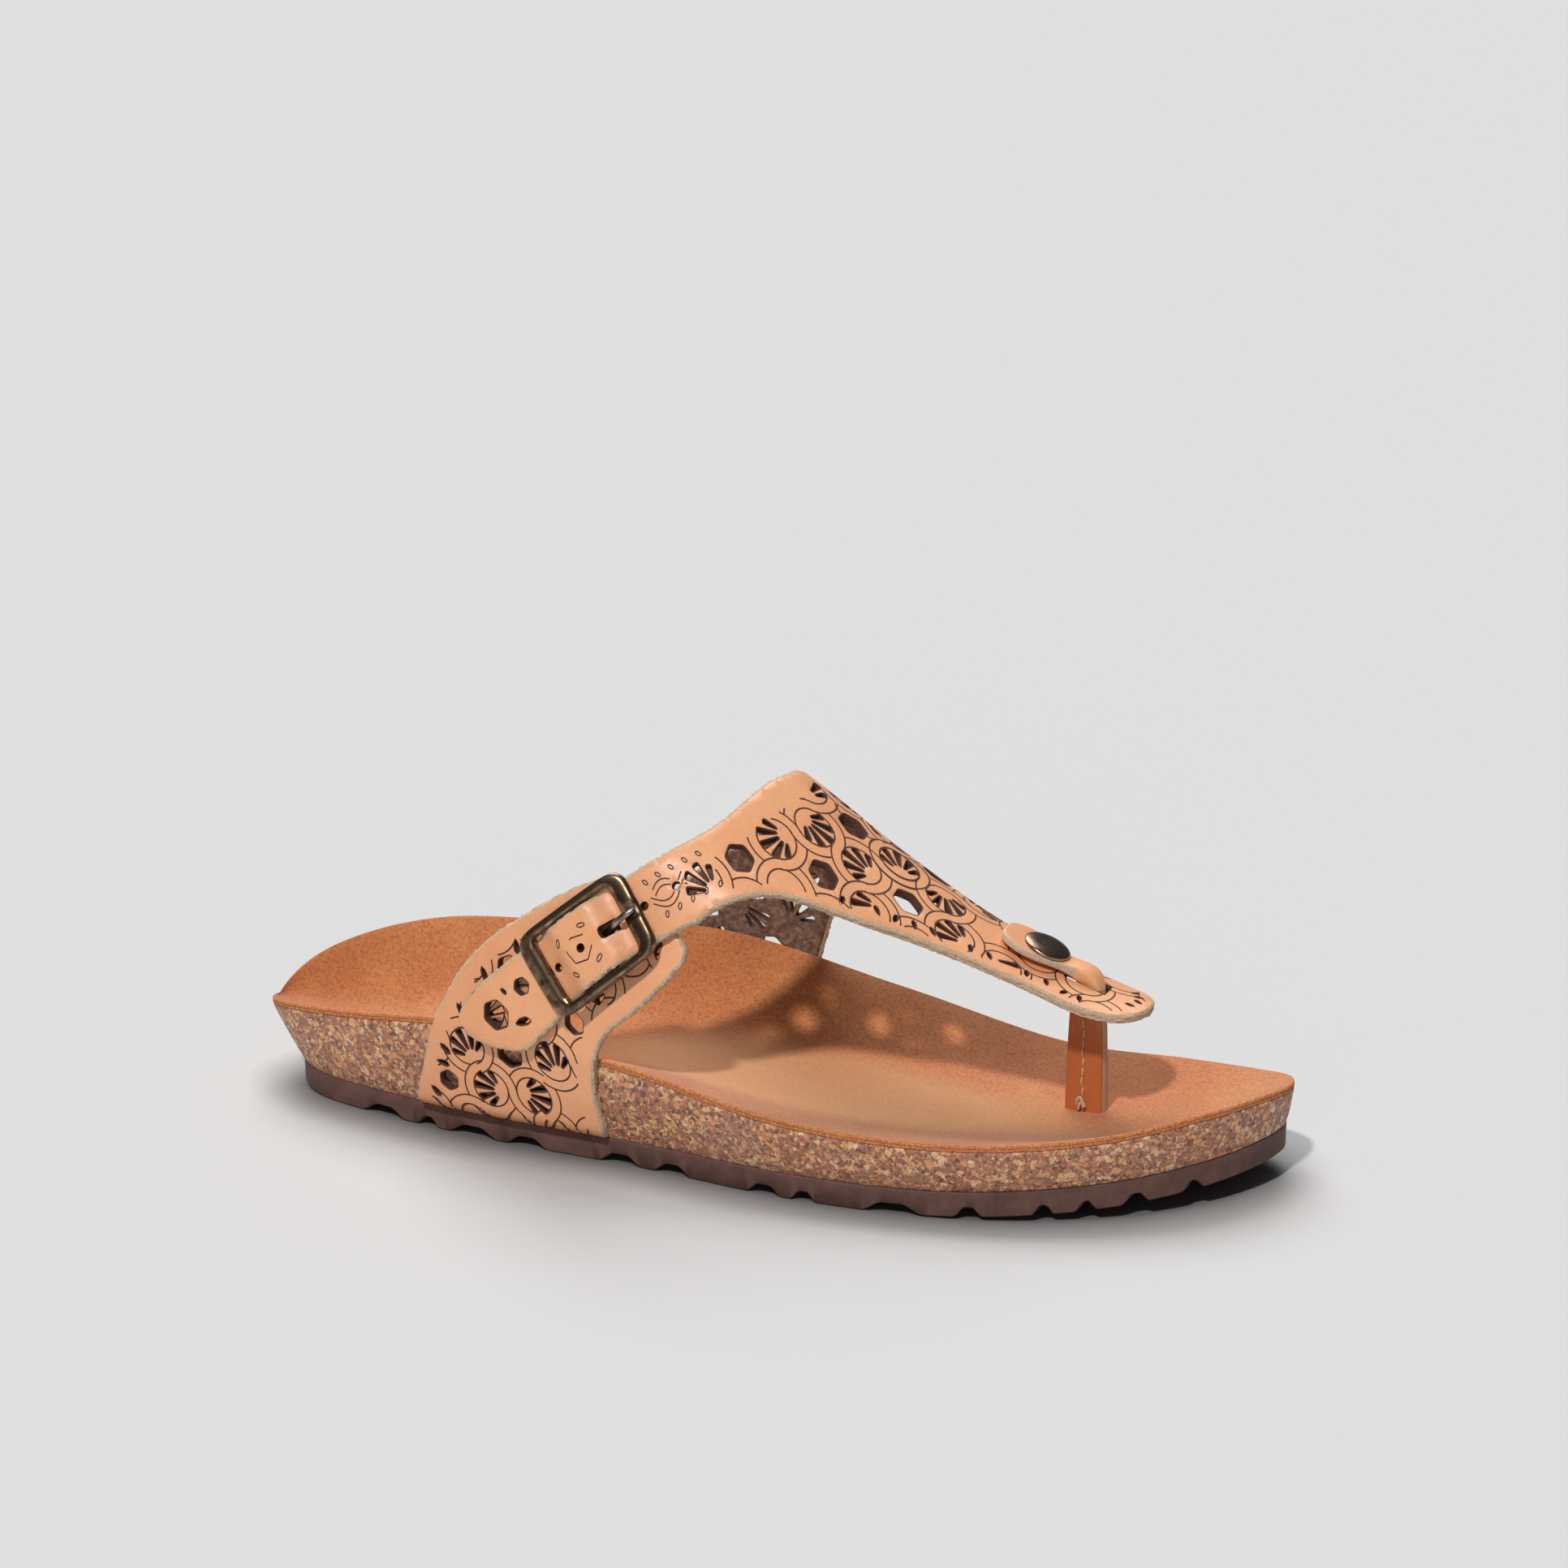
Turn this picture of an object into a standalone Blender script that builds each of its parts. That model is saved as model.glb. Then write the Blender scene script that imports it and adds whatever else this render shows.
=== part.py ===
"""Right toe-post sandal with a cork footbed, an openwork leather upper and one buckle.

Metres, +Z up, +X from heel to toe, +Y to the inner side of the foot.
The floor is Z = 0, and the model is centred on the origin at its end.
Leather is cut flat, as outline and holes in (x, s), where s runs over the instep from its crown:
s < 0 on the outer side, s > 0 on the inner side. It is then laid over the last.
"""
import math
from collections import namedtuple
from functools import lru_cache

import bmesh
import bpy
from mathutils import Matrix, Vector
from mathutils.geometry import delaunay_2d_cdt

MM = 0.001

# Sole sizes
SOLE_LENGTH = 262 * MM
BALL_WIDTH = 88 * MM
ARCH_RIM = 40 * MM
OUTSOLE_THICKNESS = 6.5 * MM
TREAD_DEPTH = 2.4 * MM
TREAD_WAVE = 5 * MM
TOE_SPRING = 7 * MM
HEEL_LIFT = 1.5 * MM
HEEL_RAKE = 8 * MM
SIDE_RAKE = 3 * MM
TOE_RAKE = 1.5 * MM
INSOLE_THICKNESS = 1.6 * MM
GAP = 0.35 * MM
WALL_GAP = 0.6 * MM

# Upper sizes
INSTEP_HEIGHT = 107 * MM
LEATHER = 2.4 * MM
LASTING_MARGIN = 9 * MM
BEND_RADIUS = 1.2 * MM
EDGE_BORDER = 3.2 * MM
PITCH = 12 * MM
HEX_RADIUS = 3.1 * MM
SLIT_NEAR = 0.35 * MM
SLIT_FAR = 1.05 * MM
BRIDGE = 0.8 * MM

# Buckle sizes
STRAP_WIDTH = 17 * MM
TAIL_LENGTH = 40.7 * MM
FRAME_LENGTH = 30.5 * MM
END_BAR = 4 * MM
RAIL = 2 * MM
FRAME_THICKNESS = 2.4 * MM
FRAME_CORNER = 3.2 * MM
NOTCH_DEPTH = 0.6 * MM
CENTRE_BAR_RADIUS = 0.9 * MM
PRONG_THICKNESS = 1.6 * MM
CHAPE_THICKNESS = 0.8 * MM
CHAPE_FLANGE = 6 * MM
HOLE_PITCH = 8.7 * MM
HOLE_RADIUS = 1.0 * MM
BUCKLE_AT = 0.389 * SOLE_LENGTH
BUCKLE_HEIGHT = 0.4645 * INSTEP_HEIGHT
BUCKLE_ANGLE = math.radians(39.5)

# Toe post and rivet sizes
POST_AT = 0.809 * SOLE_LENGTH
POST_ASIDE = 0.085 * BALL_WIDTH
POST_WIDTH = 10.5 * MM
POST_THICKNESS = 4.8 * MM
POST_TWIST = math.radians(-10)
TAB_THICKNESS = 2.2 * MM
TAB_WIDTH = 15.5 * MM
TAB_LENGTH = 23 * MM
RIVET_BACK = 12.5 * MM
RIVET_RADIUS = 6 * MM
RIVET_HEIGHT = 1.5 * MM
RIVET_EDGE = 0.4 * MM
RIVET_STEM = 1.6 * MM
RIVET_TAIL = 0.8 * MM

# The last in plan and side view. Lengths are shares: x of SOLE_LENGTH, half widths of BALL_WIDTH,
# rims and bed of ARCH_RIM.
Station = namedtuple("Station", "x lateral medial rim_lateral rim_medial bed")
STATIONS = (
    Station(0.00, 0.000, 0.000, 0.51, 0.51, 0.51),
    Station(0.03, 0.176, 0.197, 0.60, 0.72, 0.45),
    Station(0.12, 0.293, 0.361, 0.68, 0.86, 0.39),
    Station(0.25, 0.382, 0.366, 0.77, 0.93, 0.40),
    Station(0.41, 0.446, 0.380, 0.68, 0.98, 0.48),
    Station(0.59, 0.536, 0.432, 0.52, 0.70, 0.37),
    Station(0.75, 0.519, 0.475, 0.49, 0.43, 0.32),
    Station(0.87, 0.392, 0.431, 0.54, 0.45, 0.35),
    Station(0.95, 0.198, 0.338, 0.61, 0.51, 0.46),
    Station(0.99, 0.001, 0.250, 0.62, 0.56, 0.56),
    Station(1.00, -0.141, 0.141, 0.59, 0.59, 0.59),
)

# The crown of the instep: x of SOLE_LENGTH, height of INSTEP_HEIGHT, offset of BALL_WIDTH.
Crown = namedtuple("Crown", "x height offset")
CROWNS = (
    Crown(0.15, 1.150, 0.02),
    Crown(0.38, 1.002, 0.06),
    Crown(0.52, 0.824, 0.08),
    Crown(0.61, 0.666, 0.08),
    Crown(0.69, 0.538, 0.08),
    Crown(0.76, 0.451, 0.08),
    Crown(0.84, 0.379, 0.08),
    Crown(0.90, 0.350, 0.08),
)

# Cross grooves of the tread, start and end as shares of the outsole's length.
Groove = namedtuple("Groove", "start end")
GROOVES = (
    Groove(0.095, 0.150), Groove(0.162, 0.190), Groove(0.198, 0.257), Groove(0.265, 0.313),
    Groove(0.368, 0.416), Groove(0.428, 0.471), Groove(0.531, 0.570), Groove(0.578, 0.606),
    Groove(0.650, 0.713), Groove(0.741, 0.768), Groove(0.812, 0.832), Groove(0.850, 0.868),
    Groove(0.889, 0.911), Groove(0.936, 0.952),
)

# The upper's edges: x of SOLE_LENGTH, over the share of the way from the crown (0) to the bend at the
# sole (1), negative on the outer side.
Edge = namedtuple("Edge", "x over")
PANEL_EDGE = (
    Edge(0.197, -1.000), Edge(0.208, -0.922), Edge(0.219, -0.844), Edge(0.235, -0.773),
    Edge(0.254, -0.702), Edge(0.279, -0.638), Edge(0.313, -0.576), Edge(0.347, -0.519),
    Edge(0.378, -0.473), Edge(0.397, -0.452), Edge(0.414, -0.452), Edge(0.447, -0.489),
    Edge(0.473, -0.539), Edge(0.479, -0.569), Edge(0.471, -0.609), Edge(0.439, -0.704),
    Edge(0.412, -0.763), Edge(0.400, -0.803), Edge(0.393, -0.856), Edge(0.392, -0.926),
    Edge(0.398, -1.000),
)
STRAP_REAR = (
    Edge(0.456, -0.344), Edge(0.479, -0.268), Edge(0.494, -0.188), Edge(0.506, -0.085),
    Edge(0.515, 0.000), Edge(0.515, 0.132), Edge(0.492, 0.299), Edge(0.450, 0.434),
    Edge(0.405, 0.537), Edge(0.351, 0.686), Edge(0.324, 0.818), Edge(0.311, 0.926),
    Edge(0.305, 1.000),
)
STRAP_FRONT = (
    Edge(0.502, 1.000), Edge(0.502, 0.909), Edge(0.504, 0.801), Edge(0.511, 0.699),
    Edge(0.531, 0.520), Edge(0.553, 0.436), Edge(0.588, 0.371), Edge(0.626, 0.331),
    Edge(0.664, 0.298), Edge(0.710, 0.266), Edge(0.763, 0.248), Edge(0.809, 0.261),
    Edge(0.844, 0.231), Edge(0.863, 0.139), Edge(0.870, 0.000), Edge(0.863, -0.112),
    Edge(0.844, -0.183), Edge(0.809, -0.205), Edge(0.763, -0.195), Edge(0.710, -0.217),
    Edge(0.664, -0.256), Edge(0.626, -0.295), Edge(0.588, -0.326), Edge(0.548, -0.362),
    Edge(0.511, -0.428), Edge(0.489, -0.489),
)

# The tail's end, from its rear side to its front side: p of TAIL_LENGTH, q of STRAP_WIDTH.
Tail = namedtuple("Tail", "p q")
TAIL = (
    Tail(-0.344, 0.520), Tail(-0.452, 0.580), Tail(-0.590, 0.618), Tail(-0.708, 0.629),
    Tail(-0.799, 0.518), Tail(-0.916, 0.271), Tail(-1.000, -0.035), Tail(-1.000, -0.276),
    Tail(-0.943, -0.372), Tail(-0.735, -0.482), Tail(-0.590, -0.506), Tail(-0.344, -0.500),
)

# Fields of the interlace: where it starts, x of SOLE_LENGTH and up of INSTEP_HEIGHT (from the sole line
# on the two sides, from the crown on top), and how many rows and columns.
Field = namedtuple("Field", "x up rows columns")
PANEL_FIELD = Field(0.236, 0.088, 7, 7)
INNER_FIELD = Field(0.325, 0.068, 7, 6)
TOP_FIELD = Field(0.440, -0.410, 10, 12)

# Sections of the fold over the slit and of the tab: back from the post and up from the last in
# POST_WIDTH, lean in degrees, half sizes in TAB_THICKNESS.
Fold = namedtuple("Fold", "back up lean deep wide")
FOLDS = (
    Fold(0.05, 0.38, 30, 1.18, 1.32),
    Fold(0.32, 0.41, 70, 0.77, 1.50),
)
Tab = namedtuple("Tab", "back width")
TABS = (
    Tab(0.28, 0.48), Tab(0.39, 0.62), Tab(0.54, 0.86), Tab(0.70, 1.00), Tab(0.85, 0.92), Tab(0.96, 0.66),
    Tab(1.00, 0.35),
)

# A fan's slits: their lean in degrees, and the fan's origin and reach from the ring's middle in PITCH.
FAN_LEANS = (-44, 0, 44)
FAN_BACK = 0.26
FAN_REACH = 0.38

ARCH_POWER = 1.8
DISH_POWER = 3
COLUMNS = (-1, -0.86, -0.68, -0.45, -0.15, 0.15, 0.45, 0.68, 0.86, 1)
TREAD_COLUMNS = (-1, -0.55, 0, 0.55, 1)
ROWS = 26
MESH_STEP = 8 * MM

Colour = namedtuple("Colour", "rgb roughness metallic")
COLOURS = {
    "leather": Colour((0.62, 0.30, 0.15), 0.55, 0.0),
    "suede": Colour((0.50, 0.20, 0.06), 0.95, 0.0),
    "cork": Colour((0.24, 0.13, 0.08), 0.70, 0.0),
    "eva": Colour((0.05, 0.03, 0.025), 0.80, 0.0),
    "brass": Colour((0.16, 0.12, 0.07), 0.35, 1.0),
}


def smooth_curve(xs, ys):
    """A smooth function through the points, by cubic pieces with averaged slopes."""
    steps = [b - a for a, b in zip(xs, xs[1:])]
    rises = [(b - a) / h for a, b, h in zip(ys, ys[1:], steps)]
    slopes = [rises[0]]
    for k in range(1, len(steps)):
        slopes.append((steps[k] * rises[k - 1] + steps[k - 1] * rises[k]) / (steps[k] + steps[k - 1]))
    slopes.append(rises[-1])

    def value(x):
        k = 0
        while k < len(steps) - 1 and x > xs[k + 1]:
            k += 1
        h = steps[k]
        t = (x - xs[k]) / h
        start = (1 + 2 * t) * (1 - t) ** 2 * ys[k] + t * (1 - t) ** 2 * h * slopes[k]
        end = t * t * (3 - 2 * t) * ys[k + 1] + t * t * (t - 1) * h * slopes[k + 1]
        return start + end
    return value


def clamp(value, low, high):
    return max(low, min(high, value))


def ease(value, start, end):
    """0 before start, 1 after end, smooth between."""
    t = clamp((value - start) / (end - start), 0, 1)
    return t * t * (3 - 2 * t)


def turn(share):
    """Shares of the length as an angle, so that heel and toe come out round."""
    return math.acos(clamp(1 - 2 * share, -1, 1))


def station_curve(name, size):
    curve = smooth_curve([turn(row.x) for row in STATIONS], [getattr(row, name) * size for row in STATIONS])
    return lambda x: curve(turn(x / SOLE_LENGTH))


def crown_curve(name, size):
    return smooth_curve([row.x * SOLE_LENGTH for row in CROWNS], [getattr(row, name) * size for row in CROWNS])


half_lateral = station_curve("lateral", BALL_WIDTH)
half_medial = station_curve("medial", BALL_WIDTH)
rim_lateral = station_curve("rim_lateral", ARCH_RIM)
rim_medial = station_curve("rim_medial", ARCH_RIM)
bed_centre = station_curve("bed", ARCH_RIM)
crown_height = crown_curve("height", INSTEP_HEIGHT)
crown_offset = crown_curve("offset", BALL_WIDTH)
LOW_LENGTH = SOLE_LENGTH - HEEL_RAKE - TOE_RAKE


def across(x, t):
    """The rim outline's y, from t = -1 at the outer edge to t = 1 at the inner edge."""
    low, high = -half_lateral(x), half_medial(x)
    return low + (high - low) * (t + 1) / 2


def low_across(low_x, t):
    """The same on the outline that the outsole meets."""
    share = clamp((low_x - HEEL_RAKE) / LOW_LENGTH, 0, 1)
    rake = SIDE_RAKE * math.sqrt(math.sin(turn(share)))
    return across(share * SOLE_LENGTH, t) - rake * t


def bed_height(x, t):
    """The footbed's top: a dish with its rims at t = -1 and 1."""
    rim = rim_lateral(x) if t < 0 else rim_medial(x)
    rise = abs(t) ** DISH_POWER * (2 - t * t)
    return bed_centre(x) + (rim - bed_centre(x)) * rise


def toe_spring(x):
    return TOE_SPRING * max(0, (x / SOLE_LENGTH - 0.64) / 0.36) ** 2


def sole_line(x):
    return OUTSOLE_THICKNESS + toe_spring(x)


# Leather over the last

ARCH_SPAN = 100 * MM
WALL_SPAN = 24 * MM


@lru_cache(None)
def section(x, side):
    """The last's outline at x from the crown to the lasting margin, with the lengths of its three parts."""
    top_y, top_z = crown_offset(x), crown_height(x)
    rim_y = -WALL_GAP - half_lateral(x) if side < 0 else WALL_GAP + half_medial(x)
    rim_z = rim_lateral(x) if side < 0 else rim_medial(x)
    margin_z = sole_line(x) + LEATHER
    bend_share = (margin_z + BEND_RADIUS - sole_line(x)) / (rim_z - sole_line(x))
    sole_y = low_across(x, side) + side * WALL_GAP
    low_y = sole_y + (rim_y - sole_y) * bend_share
    points = []
    for k in range(33):
        angle = k / 32 * math.pi / 2
        out = math.sin(angle) ** (2 / ARCH_POWER)
        up = math.cos(angle) ** (2 / ARCH_POWER)
        points.append((top_y + (rim_y - top_y) * out, rim_z + (top_z - rim_z) * up))
    arch_end = len(points) - 1
    for k in range(4):
        angle = k / 3 * math.pi / 2
        y = low_y - side * BEND_RADIUS * (1 - math.cos(angle))
        points.append((y, margin_z + BEND_RADIUS * (1 - math.sin(angle))))
    wall_end = arch_end + 1
    points.append((low_y - side * LASTING_MARGIN, margin_z))
    lengths = [0.0]
    for a, b in zip(points, points[1:]):
        lengths.append(lengths[-1] + math.dist(a, b))
    return points, lengths, lengths[arch_end], lengths[wall_end]


def section_at(x, side):
    return section(round(x, 7), side)


def along(points, lengths, distance):
    k = 0
    while k < len(lengths) - 2 and distance > lengths[k + 1]:
        k += 1
    t = (distance - lengths[k]) / (lengths[k + 1] - lengths[k])
    a, b = points[k], points[k + 1]
    return a[0] + (b[0] - a[0]) * t, a[1] + (b[1] - a[1]) * t


def spread(x, s):
    """The pattern's s as v, in which rim and sole line are at the same v for every x."""
    side = -1 if s < 0 else 1
    points, lengths, arch, wall = section_at(x, side)
    d = abs(s)
    if d <= arch:
        v = d / arch * ARCH_SPAN
    elif d <= wall:
        v = ARCH_SPAN + (d - arch) / (wall - arch) * WALL_SPAN
    else:
        v = ARCH_SPAN + WALL_SPAN + d - wall
    return side * v


def last_point(x, v):
    side = -1 if v < 0 else 1
    points, lengths, arch, wall = section_at(x, side)
    d = abs(v)
    if d <= ARCH_SPAN:
        distance = d / ARCH_SPAN * arch
    elif d <= ARCH_SPAN + WALL_SPAN:
        distance = arch + (d - ARCH_SPAN) / WALL_SPAN * (wall - arch)
    else:
        distance = wall + d - ARCH_SPAN - WALL_SPAN
    y, z = along(points, lengths, distance)
    return Vector((x, y, z))


def offset_point(x, v, w):
    """The point w outside the last."""
    step = 0.4 * MM
    dx = last_point(x + step, v) - last_point(x - step, v)
    dv = last_point(x, v + step) - last_point(x, v - step)
    return last_point(x, v) + dx.cross(dv).normalized() * w


def reach(x, side):
    """The length along the leather from the crown to the sole line."""
    return section_at(x, side)[3] + LEATHER + BEND_RADIUS


def at_sole(x, height, side=-1):
    """A pattern point at a height above the sole line, measured along the leather."""
    return x, side * (reach(x, side) - height)


def height_at(x, s):
    return reach(x, -1) + s


def edge_points(rows):
    points = []
    for row in rows:
        x = row.x * SOLE_LENGTH
        side = -1 if row.over < 0 else 1
        points.append((x, row.over * section_at(x, side)[3]))
    return points


def lasted_edge(first, last, side):
    """The edge under the cork, from below the edge point first to below last."""
    def bend(x):
        return [(x, side * (section_at(x, side)[3] + turned_in * BEND_LENGTH)) for turned_in in (0.5, 1)]
    steps = spaced(first[0], last[0], MESH_STEP)
    return bend(first[0]) + [(x, side * section_at(x, side)[1][-1]) for x in steps] + bend(last[0])[::-1]


def buckle_pattern(p, q):
    """Buckle coordinates, p along the strap and q across it, as a pattern point."""
    x = BUCKLE_AT + p * math.cos(BUCKLE_ANGLE) + q * math.sin(BUCKLE_ANGLE)
    height = BUCKLE_HEIGHT + p * math.sin(BUCKLE_ANGLE) - q * math.cos(BUCKLE_ANGLE)
    return at_sole(x, height)


def buckle_point(p, q, w):
    x, s = buckle_pattern(p, q)
    return offset_point(x, spread(x, s), w)


PANEL_TOP = LEATHER
STRAP_REST = PANEL_TOP + 1.2 * GAP
BAR_LEVEL = PANEL_TOP + GAP + CENTRE_BAR_RADIUS
LOOP_RADIUS = CENTRE_BAR_RADIUS + GAP + CHAPE_THICKNESS
HUMP = BAR_LEVEL + LOOP_RADIUS + GAP - STRAP_REST
HUMP_START = 0.12 * FRAME_LENGTH
HUMP_END = 0.34 * FRAME_LENGTH
BEND_LENGTH = BEND_RADIUS * math.pi / 2


def strap_rise(x, s):
    """How far the strap lies off the last: over the side panel, and humped over the buckle's centre bar."""
    rise = STRAP_REST * ease(-s, 0.24 * INSTEP_HEIGHT, 0.43 * INSTEP_HEIGHT)
    dx = x - BUCKLE_AT
    dh = height_at(x, s) - BUCKLE_HEIGHT
    p = dx * math.cos(BUCKLE_ANGLE) + dh * math.sin(BUCKLE_ANGLE)
    if s < -0.28 * INSTEP_HEIGHT:
        rise += HUMP * (1 - ease(abs(p), HUMP_START, HUMP_END))
    return rise


# Flat shapes

SQUARE = ((-1, -1), (1, -1), (1, 1), (-1, 1))


def run(points, steps=4):
    """A smooth open run through the points."""
    result = []
    last = len(points) - 1
    for k in range(last):
        p0, p1 = points[max(k - 1, 0)], points[k]
        p2, p3 = points[k + 1], points[min(k + 2, last)]
        for j in range(steps):
            t = j / steps
            result.append(tuple(
                0.5 * (2 * b + (c - a) * t + (2 * a - 5 * b + 4 * c - d) * t * t
                       + (3 * b - a - 3 * c + d) * t ** 3)
                for a, b, c, d in zip(p0, p1, p2, p3)))
    return result + [points[-1]]


def disc(centre, radius, sides, start=0.0):
    return [(centre[0] + radius * math.cos(start + 2 * math.pi * k / sides),
             centre[1] + radius * math.sin(start + 2 * math.pi * k / sides)) for k in range(sides)]


def fan(centre, facing):
    """Slits inside a ring that spread from a point near its edge."""
    back = FAN_BACK * PITCH
    far = FAN_REACH * PITCH
    near = 0.21 * PITCH
    slits = []
    for lean in FAN_LEANS:
        turned_by = math.radians(lean)
        end = back * math.cos(turned_by) + math.sqrt(far ** 2 - (back * math.sin(turned_by)) ** 2)
        ux, uy = math.cos(facing + turned_by), math.sin(facing + turned_by)
        ox, oy = centre[0] - back * math.cos(facing), centre[1] - back * math.sin(facing)
        slits.append([(ox + ux * a - uy * b, oy + uy * a + ux * b) for a, b in (
            (near, -SLIT_NEAR), (end, -SLIT_FAR), (end, SLIT_FAR), (near, SLIT_NEAR))])
    return slits


def distance_to_loop(point, loop):
    """Distance to a closed outline, negative outside it."""
    within = False
    nearest = 1.0
    px, py = point
    for (ax, ay), (bx, by) in zip(loop, loop[1:] + loop[:1]):
        if (ay > py) != (by > py) and px < ax + (py - ay) * (bx - ax) / (by - ay):
            within = not within
        ex, ey = bx - ax, by - ay
        t = clamp(((px - ax) * ex + (py - ay) * ey) / (ex * ex + ey * ey + 1e-18), 0, 1)
        nearest = min(nearest, math.hypot(px - ax - t * ex, py - ay - t * ey))
    return nearest if within else -nearest


def fits(hole, outline, border, taken, bridge):
    """True where the hole keeps the border to the outline and a bridge to every hole already there."""
    if any(distance_to_loop(point, outline) < border for point in hole):
        return False
    cx = sum(x for x, y in hole) / len(hole)
    cy = sum(y for x, y in hole) / len(hole)
    for other in taken:
        if -distance_to_loop((cx, cy), other) < 0:
            return False
        if any(-distance_to_loop(point, other) < bridge for point in hole):
            return False
    return True


def openwork(place, rows, columns):
    """Holes of the interlace: a triangular grid with a hexagon at every third site and else a ring's fan."""
    holes = []
    for i in range(rows):
        for j in range(columns):
            centre = place(PITCH * (j + 0.5 * (i % 2)), PITCH * i * math.sqrt(3) / 2)
            if (j - i // 2 - i) % 3 == 0:
                holes.append(disc(centre, HEX_RADIUS, 6, math.radians(30)))
            else:
                holes += fan(centre, math.radians(60 * ((2 * i + 3 * j) % 6)))
    return holes


# Blender helpers

def clear_scene():
    for item in list(bpy.data.objects):
        bpy.data.objects.remove(item, do_unlink=True)


def collection(name):
    group = bpy.data.collections.new(name)
    bpy.context.scene.collection.children.link(group)
    return group


def material(name):
    colour = COLOURS[name]
    made = bpy.data.materials.new(name)
    made.use_nodes = True
    shader = made.node_tree.nodes["Principled BSDF"]
    shader.inputs["Base Color"].default_value = (*colour.rgb, 1)
    shader.inputs["Roughness"].default_value = colour.roughness
    shader.inputs["Metallic"].default_value = colour.metallic
    made.diffuse_color = (*colour.rgb, 1)
    return made


def add_object(name, bm, material_name=None, smooth=True):
    bmesh.ops.recalc_face_normals(bm, faces=bm.faces)
    if bm.calc_volume(signed=True) < 0:
        bmesh.ops.reverse_faces(bm, faces=bm.faces)
    mesh = bpy.data.meshes.new(name)
    bm.to_mesh(mesh)
    bm.free()
    item = bpy.data.objects.new(name, mesh)
    if material_name:
        mesh.materials.append(materials[material_name])
        parts.objects.link(item)
    else:
        cutters.objects.link(item)
        item.hide_render = True
        item.display_type = "WIRE"
    if smooth:
        mesh.shade_smooth()
        mesh.set_sharp_from_angle(angle=math.radians(35))
    return item


def boolean(item, other, operation):
    modifier = item.modifiers.new(operation.lower(), "BOOLEAN")
    modifier.operation = operation
    modifier.object = other
    modifier.solver = "EXACT"


def flat_solid(loops, thickness, grid=()):
    """A flat slab of the first loop with the others as holes, its middle at z = 0.

    The grid's points that lie in the slab let it bend when it is laid over the last.
    """
    points = []
    edges = []
    for loop in loops:
        first = len(points)
        points += loop
        edges += [(first + k, first + (k + 1) % len(loop)) for k in range(len(loop))]
    near = 1.6 * MM
    points += [point for point in grid if inside(point, loops, near)]
    mesh = delaunay_2d_cdt([Vector(point) for point in points], edges, [], 0, 1e-8)
    bm = bmesh.new()
    verts = [bm.verts.new((*co, -thickness / 2)) for co in mesh[0]]
    for corners in mesh[2]:
        centre = sum((mesh[0][k] for k in corners), Vector((0, 0))) / len(corners)
        if inside(centre, loops, 0):
            bm.faces.new([verts[k] for k in corners])
    for vert in [vert for vert in verts if not vert.link_faces]:
        bm.verts.remove(vert)
    made = bmesh.ops.extrude_face_region(bm, geom=bm.faces[:])
    raised = [item for item in made["geom"] if isinstance(item, bmesh.types.BMVert)]
    bmesh.ops.translate(bm, vec=(0, 0, thickness), verts=raised)
    return bm


def inside(point, loops, near):
    """True in the first loop and outside the others, at least near from each."""
    if distance_to_loop(point, loops[0]) < near:
        return False
    return all(-distance_to_loop(point, hole) > near for hole in loops[1:])


def spaced(start, end, step):
    count = max(1, round((end - start) / step))
    return [start + (end - start) * k / count for k in range(count + 1)]


def lay(bm, rise):
    """Lays the flat slab, with its inner face down, over the last."""
    for vert in bm.verts:
        x, v, z = vert.co
        vert.co = offset_point(x, v, rise(x, unspread(x, v)) + LEATHER / 2 + z)
    bmesh.ops.triangulate(bm, faces=bm.faces)


def unspread(x, v):
    side = -1 if v < 0 else 1
    points, lengths, arch, wall = section_at(x, side)
    d = abs(v)
    if d <= ARCH_SPAN:
        return side * d / ARCH_SPAN * arch
    if d <= ARCH_SPAN + WALL_SPAN:
        return side * (arch + (d - ARCH_SPAN) / WALL_SPAN * (wall - arch))
    return side * (wall + d - ARCH_SPAN - WALL_SPAN)


def leather(name, outline, holes, rise, grid):
    loops = [[(x, spread(x, s)) for x, s in loop] for loop in [outline] + holes]
    bm = flat_solid(loops, LEATHER, grid)
    lay(bm, rise)
    return add_object(name, bm, "leather")


def grid_solid(rows, columns, top, bottom):
    """A closed slab between two surfaces whose first and last rows are single points."""
    bm = bmesh.new()
    sheets = []
    for surface in (top, bottom):
        sheet = []
        for i, row in enumerate(rows):
            if i in (0, len(rows) - 1):
                vert = bm.verts.new(surface(row, 0))
                sheet.append([vert] * len(columns))
            else:
                sheet.append([bm.verts.new(surface(row, t)) for t in columns])
        sheets.append(sheet)

    def face(*verts):
        distinct = list(dict.fromkeys(verts))
        if len(distinct) > 2:
            bm.faces.new(distinct)

    upper, lower = sheets[0], sheets[1]
    last = len(columns) - 1
    for i in range(len(rows) - 1):
        for j in range(last):
            for sheet in sheets:
                a, b = sheet[i][j], sheet[i + 1][j]
                c, d = sheet[i + 1][j + 1], sheet[i][j + 1]
                if j < last / 2:
                    face(a, b, d)
                    face(b, c, d)
                else:
                    face(a, b, c)
                    face(a, c, d)
        face(upper[i][0], lower[i][0], lower[i + 1][0], upper[i + 1][0])
        face(upper[i][last], upper[i + 1][last], lower[i + 1][last], lower[i][last])
    return bm


def box(centre, size, matrix=Matrix()):
    bm = bmesh.new()
    bmesh.ops.create_cube(bm, size=1)
    bmesh.ops.scale(bm, vec=size, verts=bm.verts)
    bmesh.ops.translate(bm, vec=centre, verts=bm.verts)
    bmesh.ops.transform(bm, matrix=matrix, verts=bm.verts)
    return bm


# Sole, footbed and insole

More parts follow.
